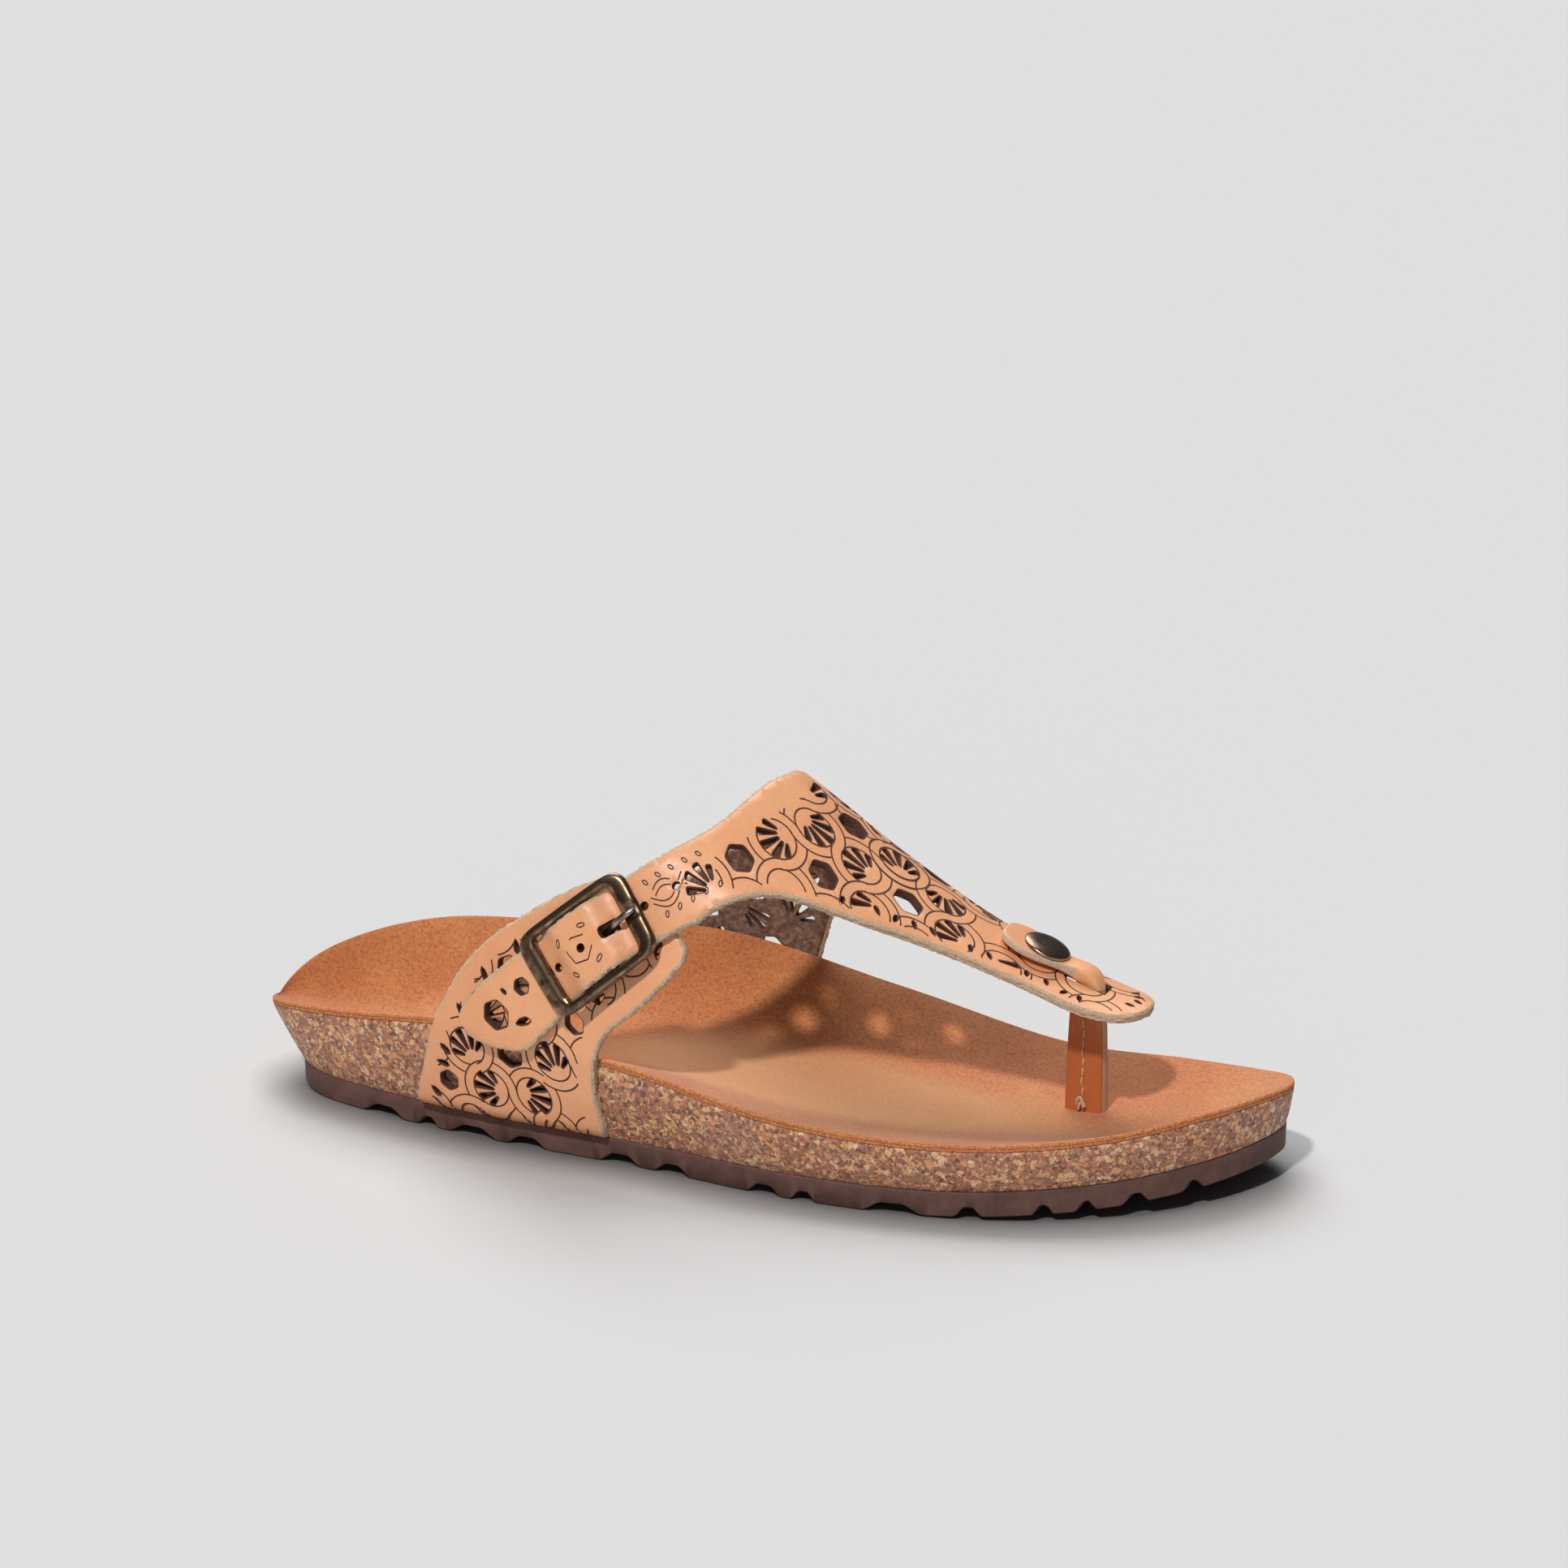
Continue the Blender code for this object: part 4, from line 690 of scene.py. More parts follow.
def leather_piece(name, outline, holes, rise, step, materials):
    """Leather as a closed body: grain side, flesh side, rounded cut edge and burnt hole walls."""
    chance = np.random.default_rng(len(holes))
    outline = resampled(np.array(outline), EDGE_STEP)
    walls = [outline] + [np.array(hole) for hole in holes]
    rims = [spread(inset(outline, CUT_ROUND))] + [spread(inset(hole, -HOLE_ROUND)) for hole in holes]
    low, high = rims[0].min(0), rims[0].max(0)
    xs = np.arange(low[0], high[0], step)
    in_bend = [WALL_END + BEND_LENGTH * share for share in (0.25, 0.5, 0.75, 1)]
    vs = np.concatenate((np.arange(-WALL_END, WALL_END, step), [-v for v in in_bend], in_bend))
    vs = vs[(vs > low[1]) & (vs < high[1])]
    grid = np.array([(x + 0.5 * step * (k % 2), v) for k, v in enumerate(vs) for x in xs])
    keep = loop_distance(grid, rims[0]) > 0.45 * step
    grid = grid[keep]
    for rim in rims[1:]:
        grid = grid[~within(grid, rim, 0.4 * step)]
    points, edges = [], []
    for rim in rims:
        first = len(points)
        points += [tuple(p) for p in rim]
        edges += [(first + k, first + (k + 1) % len(rim)) for k in range(len(rim))]
    points += [tuple(p) for p in grid]
    made = delaunay_2d_cdt([Vector(p) for p in points], edges, [], 0, 1e-9)
    sheet = np.array([tuple(co) for co in made[0]])
    place = {}
    for k, originals in enumerate(made[3]):
        for original in originals:
            place[original] = k
    faces = np.array([f for f in made[2] if len(f) == 3])
    centres = sheet[faces].mean(1)
    inside = loop_distance(centres, rims[0]) > 0
    for rim in rims[1:]:
        inside &= ~within(centres, rim, 0)
    faces = faces[inside]

    def lay(points2, level):
        x, v = points2[:, 0], points2[:, 1]
        return on_last(x, v, rise(x, unspread(x, v)) + level)
    count = len(sheet)
    verts = [lay(sheet, LEATHER), lay(sheet, 0)]
    all_faces = [faces, faces[:, ::-1] + count]
    slots = [np.zeros(len(faces), int), np.ones(len(faces), int)]
    offset = 2 * count
    first = 0
    for number, wall in enumerate(walls):
        n = len(wall)
        round_by = CUT_ROUND if number == 0 else HOLE_ROUND
        rim = np.array([place[first + k] for k in range(n)])
        rows = [rim]
        levels = (LEATHER - round_by, LEATHER / 2, round_by)
        if number == 0:
            levels = [share * LEATHER for share in (0.80, 0.62, 0.45, 0.28, 0.12)]
        for level in levels:
            fuzz = chance.normal(0, EDGE_FUZZ if number == 0 else 0.03 * MM, (n, 1))
            verts.append(lay(spread(inset(wall, np.clip(fuzz, -0.25 * MM, 0.25 * MM))), level))
            rows.append(offset + np.arange(n))
            offset += n
        rows.append(rim + count)
        for upper, lower in zip(rows, rows[1:]):
            quads = np.stack((upper, np.roll(upper, -1), np.roll(lower, -1), lower), 1)
            all_faces.append(quads)
            slots.append(np.full(n, 2 if number == 0 else 3))
        first += n
    faces = [tuple(f) for part in all_faces for f in part]
    item = new_object(name, np.vstack(verts), faces, materials, np.concatenate(slots))
    mend(item)
    item.data.set_sharp_from_angle(angle=math.radians(40))
    return item


def ring_lines(found, outline, holes, margin, clear=()):
    """Thin strips along both edges of each ring's band, left out where another band lies over it."""
    rings = [np.array(site.centre) for site in found if site.ring]
    strips = []
    for centre in rings:
        near = [other for other in rings if 0.5 * PITCH < np.linalg.norm(other - centre) < 1.4 * PITCH]
        for radius in (BAND_INNER * PITCH, BAND_OUTER * PITCH):
            angles = np.linspace(0, 2 * math.pi, 73)
            middle = (angles[1:] + angles[:-1]) / 2
            points = centre + radius * np.stack((np.cos(middle), np.sin(middle)), 1)
            keep = loop_distance(points, outline) > margin
            for loop, away in clear:
                keep &= loop_distance(points, loop) < -away
            for other in near:
                away = np.linalg.norm(points - other, axis=1)
                crossing = (away > BAND_INNER * PITCH) & (away < BAND_OUTER * PITCH)
                ahead, to = other - centre, points - centre
                left = ahead[0] * to[:, 1] - ahead[1] * to[:, 0] > 0
                keep &= ~(crossing & ~left)
            for hole in holes:
                if np.linalg.norm(np.mean(hole, axis=0) - centre) < 2 * PITCH:
                    keep &= loop_distance(points, hole) < -0.1 * MM
            for k in np.nonzero(keep)[0]:
                near_r, far_r = radius - LINE_WIDTH / 2, radius + LINE_WIDTH / 2
                start, end = (np.array((math.cos(a), math.sin(a))) for a in angles[k:k + 2])
                strips.append([centre + start * near_r, centre + end * near_r,
                               centre + end * far_r, centre + start * far_r])
    return strips


def burn_lines(holes):
    strips = []
    for hole in holes:
        outer, inner = inset(hole, -BURN_WIDTH - HOLE_ROUND), inset(hole, -HOLE_ROUND)
        strips += zip(inner, np.roll(inner, -1, 0), np.roll(outer, -1, 0), outer)
    return strips


def stroke(points, width):
    """Strips along an open run of pattern points."""
    points = np.array(points)
    ahead = np.gradient(points, axis=0)
    ahead /= np.linalg.norm(ahead, axis=1, keepdims=True)
    side = np.stack((-ahead[:, 1], ahead[:, 0]), 1) * width / 2
    right, left = points - side, points + side
    return [[right[k], right[k + 1], left[k + 1], left[k]] for k in range(len(points) - 1)]


def band_motif():
    """Engraved twist of two ribbons past the buckle, and a hexagon with leaves inside the frame."""
    def draw(pq, width=0.30 * MM):
        return stroke([buckle_pattern(p, q) for p, q in run(pq, 4)], width)

    def leaf(p, q, size, turn_by):
        loop = []
        for k in range(9):
            angle = 2 * math.pi * k / 8
            a, b = size * math.cos(angle), 0.45 * size * math.sin(angle)
            loop.append((p + a * math.cos(turn_by) - b * math.sin(turn_by),
                         q + a * math.sin(turn_by) + b * math.cos(turn_by)))
        return draw(loop)
    strips = []
    ps = np.linspace(TWIST_START, TWIST_END, 30)
    for phase in (0, math.pi):
        wave = np.sin((ps - TWIST_START) / TWIST_PITCH * math.pi / 1.4 + phase)
        shown = (np.abs(wave) >= 0.45) if phase else np.ones(len(ps), bool)
        breaks = np.nonzero(~shown)[0]
        for off in (-0.8 * MM, 0.8 * MM):
            points = [buckle_pattern(p, q) for p, q in zip(ps, 2.6 * MM * wave + off)]
            for start, end in zip([-1, *breaks], [*breaks, len(ps)]):
                if end - start > 3:
                    strips += stroke(points[start + 1:end], ENGRAVED_WIDTH)
    for k, p in enumerate(np.arange(19 * MM, 33 * MM, 3.4 * MM)):
        strips += leaf(p, -4.7 * MM, 0.8 * MM, 1.1)
        strips += leaf(p + 1.3 * MM, 4.7 * MM, 0.8 * MM, -1.1)
    middle = -0.126 * HOLE_PITCH
    hexagon = disc((middle - 0.4 * MM, 0), 3.4 * MM, 6, 0.3)
    for a, b in zip(hexagon[:5], hexagon[1:]):
        strips += stroke([buckle_pattern(*a), buckle_pattern(*b)], ENGRAVED_WIDTH)
    for turn_by in (0.2, 1.0, 1.8, 2.6):
        start = (middle + 5.2 * MM * math.cos(turn_by - 1.4), 5.2 * MM * math.sin(turn_by - 1.4))
        end = (middle + 7.6 * MM * math.cos(turn_by - 1.4), 7.6 * MM * math.sin(turn_by - 1.4))
        if abs(end[1]) < 7 * MM and end[0] < middle + 6.4 * MM:
            strips += stroke([buckle_pattern(*start), buckle_pattern(*end)], 0.30 * MM)
    for p, q, by in ((1.6, -4.4, 0.4), (1.9, 4.6, -0.5), (-5.6, 4.4, 0.8), (-5.9, -4.2, -0.9)):
        strips += leaf(p * MM, q * MM, 1.0 * MM, by)
    return strips


def clear_of(strips, holes):
    """The strips that lie over no hole."""
    centres = np.array(strips).mean(1)
    keep = np.ones(len(strips), bool)
    for hole in holes:
        keep &= ~within(centres, np.array(hole), 0.35 * MM)
    return [strip for strip, kept in zip(strips, keep) if kept]


def line_piece(name, strips, rise, made):
    corners = spread(np.array(strips).reshape(-1, 2))
    x, v = corners[:, 0], corners[:, 1]
    verts = on_last(x, v, rise(x, unspread(x, v)) + LEATHER + LINE_LIFT)
    faces = np.arange(len(verts)).reshape(-1, 4)
    return new_object(name, verts, faces, [made])


def square_loop(half_p, half_q):
    return [buckle_pattern(a * half_p, b * half_q) for a, b in SQUARE]


def make_panel(materials):
    outline = panel_outline()
    slot = square_loop(CHAPE_SLOT, CHAPE_REACH)
    holes = []
    found = sites(side_place(PANEL_FIELD, -1), PANEL_FIELD)
    blocked = [slot, sole_band(-1)]
    cut_field(holes, outline, PANEL_BORDER, found, blocked)
    cut_ticks(holes, run(edge_points(PANEL_EDGE)[:9], 6), outline, 5.2 * MM, blocked, 3.4 * MM)
    panel = leather_piece("side_panel_leather", outline, [slot] + holes, flat_rise, 1.6 * MM, materials)
    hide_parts("side_panel")
    strips = ring_lines(found, outline, holes, 4.2 * MM) + burn_lines(holes)
    lines = line_piece("side_panel_lines", strips, flat_rise, materials[3])


def make_strap(materials):
    outline = strap_outline()
    holes = []
    for k in range(-1, 4):
        p = HOLE_PITCH * (k - 0.126)
        if k == 1:
            half_p = 0.3 * HOLE_PITCH
            half_q = PRONG_THICKNESS / 2 + 2 * GAP
            corners = [buckle_pattern(p - 0.6 * MM + a * half_p, b * half_q) for a, b in SQUARE]
            holes.append(rounded(corners, 1.2 * MM))
        else:
            holes.append([buckle_pattern(a, b) for a, b in disc((p, 0), HOLE_RADIUS, 16)])
    holes.append(disc((POST_AT - RIVET_BACK, 0), RIVET_STEM + GAP, 16))
    half_x = 0.8 * POST_WIDTH / 2 + 0.5 * LEATHER + 1.5 * GAP
    half_s = 0.8 * POST_THICKNESS / 2 + 0.8 * POST_WIDTH / 2 * abs(math.sin(POST_TWIST)) + 1.5 * GAP
    holes.append([(POST_AT + a * half_x - (a + 1) * SLIT_CLOSED, b * half_s) for a, b in SQUARE])
    plain = len(holes)
    under_buckle = square_loop(0.62 * FRAME_LENGTH, STRAP_WIDTH / 2)
    under_tab = [(POST_AT + (0.72 * a - 0.35) * TAB_LENGTH, b * 0.5 * TAB_WIDTH) for a, b in SQUARE]
    blocked = [under_buckle, under_tab, sole_band(1)]
    top = sites(top_place, TOP_FIELD)
    inner = sites(side_place(INNER_FIELD, 1), INNER_FIELD)
    tail = sites(tail_place, Field(0, 0, 1, 1))
    cut_field(holes, outline, EDGE_BORDER, top, blocked)
    cut_field(holes, outline, EDGE_BORDER, inner, blocked)
    cut_field(holes, outline, 0.55 * EDGE_BORDER, tail, blocked)
    hexagon = disc(TAIL_HEXAGON, 2.1 * MM, 6, 0.2)
    holes.append(rounded([buckle_pattern(p, q) for p, q in hexagon], 0.5 * MM))
    for p, q, length, lean in TAIL_LEAVES:
        along, over = length * math.cos(lean), length * math.sin(lean)
        leaf = [buckle_pattern(p + a * along - b * over, q + a * over + b * along) for a, b in TAIL_LEAF]
        holes.append(rounded(leaf, 0.4 * MM))
    arm = run(edge_points(STRAP_FRONT)[5:23], 6)
    blocked.append(disc((POST_AT - RIVET_BACK, 0), RIVET_RADIUS, 12))
    cut_ticks(holes, arm, outline, 3.6 * MM, blocked, 2.4 * MM)
    strap = leather_piece("upper_strap_leather", outline, holes, strap_rise, 1.6 * MM, materials)
    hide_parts("upper_strap")
    rear = run(edge_points(STRAP_REAR)[:7], 4)
    steps = np.linspace(0.25 * SOLE_LENGTH, 0.6 * SOLE_LENGTH, 16)
    split = [at_sole(x, INNER_TOP, 1) for x in steps]
    below = split + [at_sole(x, -LASTING_MARGIN, 1) for x in steps[::-1]]
    above = split + [(x, 0) for x in steps[::-1]]
    clear = [(rear + rear[::-1], 6.5 * MM), (square_loop(34 * MM, STRAP_WIDTH), 0), (below, 0)]
    strips = ring_lines(top, outline, holes, 2.2 * MM, clear) + burn_lines(holes[plain:])
    strips += ring_lines(inner, outline, holes, 2.6 * MM, [(above, 0)])
    strips += clear_of(band_motif(), holes)
    lines = line_piece("upper_strap_lines", strips, strap_rise, materials[3])


# Sole, footbed and insole

def inset_outline(u, t, amount):
    """The rim outline drawn in by amount, at share u of the length and t across."""
    x = amount + u * (SOLE_LENGTH - 2 * amount)
    return x, across(u * SOLE_LENGTH, t) - t * amount * np.sqrt(np.sin(turn(u)))


def stacked(name, us, ts, top, rings, bottom, materials):
    """A closed slab: a top grid, rings round its edge and a bottom grid. The ends are single points."""
    verts, faces, slots = [], [], []

    def sheet(surface):
        rows = []
        for i, u in enumerate(us):
            if i in (0, len(us) - 1):
                verts.append(surface(u, 0.0))
                rows.append([len(verts) - 1] * len(ts))
            else:
                start = len(verts)
                verts.extend(surface(u, t) for t in ts)
                rows.append(list(range(start, start + len(ts))))
        return rows

    def loop(surface):
        start = len(verts)
        order = [(us[0], 0.0)] + [(u, -1.0) for u in us[1:-1]] + [(us[-1], 0.0)]
        order += [(u, 1.0) for u in us[-2:0:-1]]
        verts.extend(surface(u, t) for u, t in order)
        return list(range(start, len(verts)))

    def add(slot, *corners):
        distinct = list(dict.fromkeys(corners))
        if len(distinct) > 2:
            faces.append(distinct)
            slots.append(slot)
    upper, lower = sheet(top), sheet(bottom)
    for i in range(len(us) - 1):
        for j in range(len(ts) - 1):
            add(0, upper[i][j], upper[i + 1][j], upper[i + 1][j + 1], upper[i][j + 1])
            add(1, lower[i][j], lower[i][j + 1], lower[i + 1][j + 1], lower[i + 1][j])

    def border(rows):
        return [rows[i][0] for i in range(len(us))] + [rows[i][-1] for i in range(len(us) - 2, 0, -1)]
    loops = [border(upper)] + [loop(ring) for ring in rings] + [border(lower)]
    count = len(loops[0])
    for a, b in zip(loops, loops[1:]):
        for k in range(count):
            add(1, a[k], b[k], b[(k + 1) % count], a[(k + 1) % count])
    verts = [tuple(float(c) for c in v) for v in verts]
    return new_object(name, verts, faces, materials, slots, 50)


def even_turns(count):
    return (1 - np.cos(np.linspace(0, math.pi, count))) / 2


def make_insole(top_material, edge_material):
    def surface(amount, drop):
        def point(u, t):
            x, y = inset_outline(u, t, amount)
            return x, y, bed_height(u * SOLE_LENGTH, t) - drop
        return point
    rings = [surface(0.22 * MM, 0.10 * MM), surface(0.04 * MM, 0.30 * MM), surface(0, 0.70 * MM),
             surface(0.20 * MM, 0.80 * MM), surface(0.20 * MM, 0.86 * MM), surface(0.02 * MM, 0.98 * MM),
             surface(0.02 * MM, 1.40 * MM)]
    us = even_turns(121)
    ts = np.sin(np.linspace(-math.pi / 2, math.pi / 2, 41))
    top, bottom = surface(0.5 * MM, 0), surface(0.1 * MM, INSOLE_THICKNESS)
    insole = stacked("insole_suede", us, ts, top, rings, bottom, [top_material, edge_material])
    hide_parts("insole")


def make_midsole(made):
    drop = INSOLE_THICKNESS + 0.1 * MM

    def wall(share, amount=0.0):
        def point(u, t):
            x, y = inset_outline(u, t, amount)
            z = bed_height(u * SOLE_LENGTH, t) - drop
            low_x = HEEL_RAKE + u * LOW_LENGTH
            low_y = low_across(low_x, t) - t * amount
            bulge = 0.5 * MM * 4 * share * (1 - share)
            out_y = bulge * t
            out_x = bulge * (2 * u - 1) * (1 - abs(t))
            return (x + (low_x - x) * share + out_x, y + (low_y - y) * share + out_y,
                    z + (sole_line(low_x) - z) * share)
        return point
    us = even_turns(121)
    ts = np.sin(np.linspace(-math.pi / 2, math.pi / 2, 31))
    rings = [wall(0.02, 0.1 * MM), wall(0.06)] + [wall(share) for share in (0.2, 0.4, 0.6, 0.8, 0.96)]
    midsole = stacked("midsole_cork", us, ts, wall(0, 0.4 * MM), rings, wall(1, 0.2 * MM), [made, made])
    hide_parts("midsole")


def tread_height(share):
    lift = HEEL_LIFT * max(0, 1 - share / 0.04) ** 2
    for groove in GROOVES:
        flank = 0.36 * (groove.end - groove.start)
        up = min(share - groove.start, groove.end - share) / flank
        lift += TREAD_DEPTH * float(ease(up, 0, 1))
    return lift


def make_outsole(made):
    def level(u, t, amount, top):
        bow = TREAD_WAVE * math.sin(math.pi * u) * (1 - t * t) * math.cos(2.2 * math.pi * t)
        x = HEEL_RAKE + amount + u * (LOW_LENGTH - 2 * amount)
        y = low_across(HEEL_RAKE + u * LOW_LENGTH, t) - t * amount
        if top is None:
            return x + bow, y, toe_spring(x + bow) + tread_height(u)
        return x, y, sole_line(x) - top
    us = np.unique(np.concatenate((even_turns(61), np.linspace(0.01, 0.99, 260))))
    ts = np.linspace(-1, 1, 21)

    def top(u, t):
        return level(u, t, 0.4 * MM, 0.1 * MM)

    def low(u, t):
        return level(u, t, 0.5 * MM, None)

    def low_edge(u, t):
        x, y, z = level(u, t, 0.08 * MM, None)
        return x, y, z + 0.35 * MM
    rings = [lambda u, t: level(u, t, 0.05 * MM, 0.35 * MM), lambda u, t: level(u, t, 0, 0.8 * MM), low_edge]
    outsole = stacked("outsole_foam", us, ts, top, rings, low, [made, made])
    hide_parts("outsole")


# Buckle

NOTCH_SHAPE = ((3, 0), (1.7, 0), (1.2, 0.7), (0, 1), (-1.2, 0.7), (-1.7, 0), (-3, 0))
FRAME_PROFILE = ((-1.0, 0.06), (-1.0, 0.45), (-0.92, 0.72), (-0.5, 0.97), (-0.1, 1.0), (0.4, 1.0),
                 (0.75, 0.93), (1.0, 0.66), (1.0, 0.3), (0.9, 0.0), (-0.6, 0.0))


def frame_rings():
    half_p = (FRAME_LENGTH - END_BAR) / 2
    half_q = STRAP_WIDTH / 2 + GAP + RAIL / 2
    side_p, side_q = half_p - FRAME_CORNER, half_q - FRAME_CORNER
    notch = 0.8 * PRONG_THICKNESS
    rings = []
    for quarter, (a, b) in enumerate(((1, 1), (-1, 1), (-1, -1), (1, -1))):
        for k in range(7):
            angle = (quarter + k / 6) * math.pi / 2
            out = np.array((math.cos(angle), math.sin(angle)))
            middle = np.array((a * side_p, b * side_q)) + out * FRAME_CORNER
            half_width = (RAIL + (END_BAR - RAIL) * float(ease(abs(out[0]), 0.2, 0.9))) / 2
            rings.append((middle, out, half_width, FRAME_TOP))
        if quarter in (0, 2):
            out = np.array((0, b))
            for share in np.linspace(0.8, -0.8, 7):
                rings.append((np.array((a * side_p * share, b * half_q)), out, RAIL / 2, FRAME_TOP))
            continue
        out = np.array((a, 0))
        if quarter == 1:
            places = [(side_q * share, 0) for share in (0.5, 0, -0.5)]
        else:
            places = [(notch * q, depth * NOTCH_DEPTH) for q, depth in NOTCH_SHAPE]
        for q, depth in places:
            rings.append((np.array((a * half_p, b * q)), out, END_BAR / 2, FRAME_TOP - depth))
    return rings


def ring_mesh(name, loops, materials, levels, closed=True, caps=False):
    """A loft through loops of equal length, smoothed by subdivision."""
    count = len(loops[0])
    faces = loft_faces(len(loops), count, 0, closed)
    if caps:
        faces.append(tuple(range(count))[::-1])
        faces.append(tuple((len(loops) - 1) * count + k for k in range(count)))
    item = new_object(name, np.vstack(loops), faces, materials, None, 180)
    mend(item)
    smooth = item.modifiers.new("smooth", "SUBSURF")
    smooth.levels = levels
    smooth.render_levels = levels
    return item


def make_frame(made):
    loops = []
    for middle, out, half_width, top in frame_rings():
        extra = RAIL_EXTRA + (BAR_EXTRA - RAIL_EXTRA) * abs(out[0])
        loops.append(buckle_points([(*(middle + out * (side * (half_width + extra) + 0.5 * extra)),
                                     FRAME_LOW + (top - FRAME_LOW) * up) for side, up in FRAME_PROFILE]))
    item = ring_mesh("buckle_frame_cast", loops, [made], 2)
    half_q = STRAP_WIDTH / 2 + GAP + RAIL / 2
    bar = []
    for q in np.linspace(-half_q, half_q, 9):
        level = BAR_LEVEL + 0.3 * MM * (abs(q) / half_q) ** 4
        ring = [(p, q, level + w) for p, w in disc((0, 0), CENTRE_BAR_RADIUS, 12)]
        bar.append(buckle_points(ring))
    posts = ring_mesh("buckle_centre_bar", bar, [made], 1, closed=False, caps=True)
    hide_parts("buckle_frame")


def make_prong(made):
    over = FRAME_TOP - NOTCH_DEPTH + 0.12 * MM
    bar_edge = FRAME_LENGTH / 2 - END_BAR
    half = PRONG_THICKNESS / 2
    path = [(0.9 * MM, BAR_LEVEL + 1.2 * MM, 0.9), (3 * MM, BAR_LEVEL + 1.0 * MM, 0.95),
            (5.2 * MM, BAR_LEVEL + 1.4 * MM, 1.0), (7.4 * MM, BAR_LEVEL + 2.9 * MM, 1.0),
            (bar_edge - 1.6 * MM, over + 0.4 * MM, 1.0), (bar_edge + 0.2 * MM, over + 0.9 * MM, 1.05),
            (bar_edge + 1.6 * MM, over + 0.75 * MM, 1.0),
            (FRAME_LENGTH / 2 - 1.1 * MM, over + 0.5 * MM, 0.7),
            (FRAME_LENGTH / 2 - 0.7 * MM, over + 0.35 * MM, 0.35)]
    loops = []
    for k, (p, w, size) in enumerate(path):
        before, after = path[max(k - 1, 0)], path[min(k + 1, len(path) - 1)]
        tangent = np.array((after[0] - before[0], after[1] - before[1]))
        tangent /= np.linalg.norm(tangent)
        loop = []
        for angle in circle(8):
            side, up = half * size * math.cos(angle) * 1.1, 0.75 * half * size * math.sin(angle)
            loop.append((p - tangent[1] * up, side, w + tangent[0] * up))
        loops.append(buckle_points(loop))
    prong = ring_mesh("buckle_prong_pin", loops, [made], 2, closed=False, caps=True)
    eye = []
    for angle in circle(16):
        loop = []
        for a in circle(8):
            radius = CENTRE_BAR_RADIUS + GAP + 0.4 * MM + 0.4 * MM * math.cos(a)
            loop.append((radius * math.cos(angle), half * math.sin(a), BAR_LEVEL + radius * math.sin(angle)))
        eye.append(buckle_points(loop))
    hook = ring_mesh("buckle_prong_eye", eye, [made], 1)
    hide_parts("buckle_prong")


# Toe post, tab, rivet and stitches

def arm_point(x, s, w):
    sheet = spread([(x, s)])
    return Vector(on_last(sheet[:, 0], sheet[:, 1], np.array([w]))[0])


POST_SHAPE = ((1, 0.62), (0.86, 0.93), (0.5, 1), (0, 1), (-0.5, 1), (-0.86, 0.93), (-1, 0.62), (-1, 0),
              (-1, -0.62), (-0.86, -0.93), (-0.5, -1), (0, -1), (0.5, -1), (0.86, -0.93), (1, -0.62), (1, 0))


def post_line():
    """The post's width and thickness directions, its foot and the place where it goes through the arm."""
    side = Vector((math.cos(POST_TWIST), math.sin(POST_TWIST), 0))
    thick = Vector((-side.y, side.x, 0))
    foot = Vector((POST_AT, POST_ASIDE, float(sole_line(POST_AT)) + GAP))
    return side, thick, foot, arm_point(POST_AT, 0, LEATHER / 2)


def post_sections():
    side, thick, foot, through = post_line()
    sections = []
    for share in (0, 0.15, 0.3, 0.45, 0.6, 0.75, 0.9, 1):
        narrow = 1 - 0.2 * share ** 2
        wide, deep = side * POST_WIDTH / 2 * narrow, thick * POST_THICKNESS / 2 * narrow
        sections.append((foot.lerp(through, share), wide, deep))
    for row in FOLDS:
        point = arm_point(POST_AT - row.back * POST_WIDTH, 0, row.up * POST_WIDTH)
        lean = Vector((math.cos(math.radians(row.lean)), 0, math.sin(math.radians(row.lean))))
        sections.append((point, lean * row.deep * TAB_THICKNESS, thick * row.wide * TAB_THICKNESS))
    above = LEATHER + WALL_GAP + TAB_THICKNESS / 2
    for row in TABS:
        x = POST_AT - row.back * TAB_LENGTH
        point = arm_point(x, 0, above)
        ahead = (arm_point(x, MM, above) - point).normalized()
        up = (arm_point(x, 0, above + MM) - point).normalized()
        sections.append((point, up * TAB_THICKNESS / 2, ahead * TAB_WIDTH / 2 * row.width))
    return sections


def make_post(brown, raw, grain):
    loops = [np.array([centre + wide * a + deep * b for a, b in POST_SHAPE])
             for centre, wide, deep in post_sections()]
    post = ring_mesh("toe_post_leather", loops, [brown, raw, grain], 2, closed=False, caps=True)
    count = len(POST_SHAPE)
    raw_post = {6, 7, 14, 15}
    raw_tab = {1, 2, 3, 4, 9, 10, 11, 12}
    for k, face in enumerate(post.data.polygons):
        ring, place = divmod(k, count)
        if ring >= 7:
            face.material_index = 2
        if (ring < 7 and place in raw_post) or (ring >= 9 and place in raw_tab):
            face.material_index = 1
    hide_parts("toe_post")


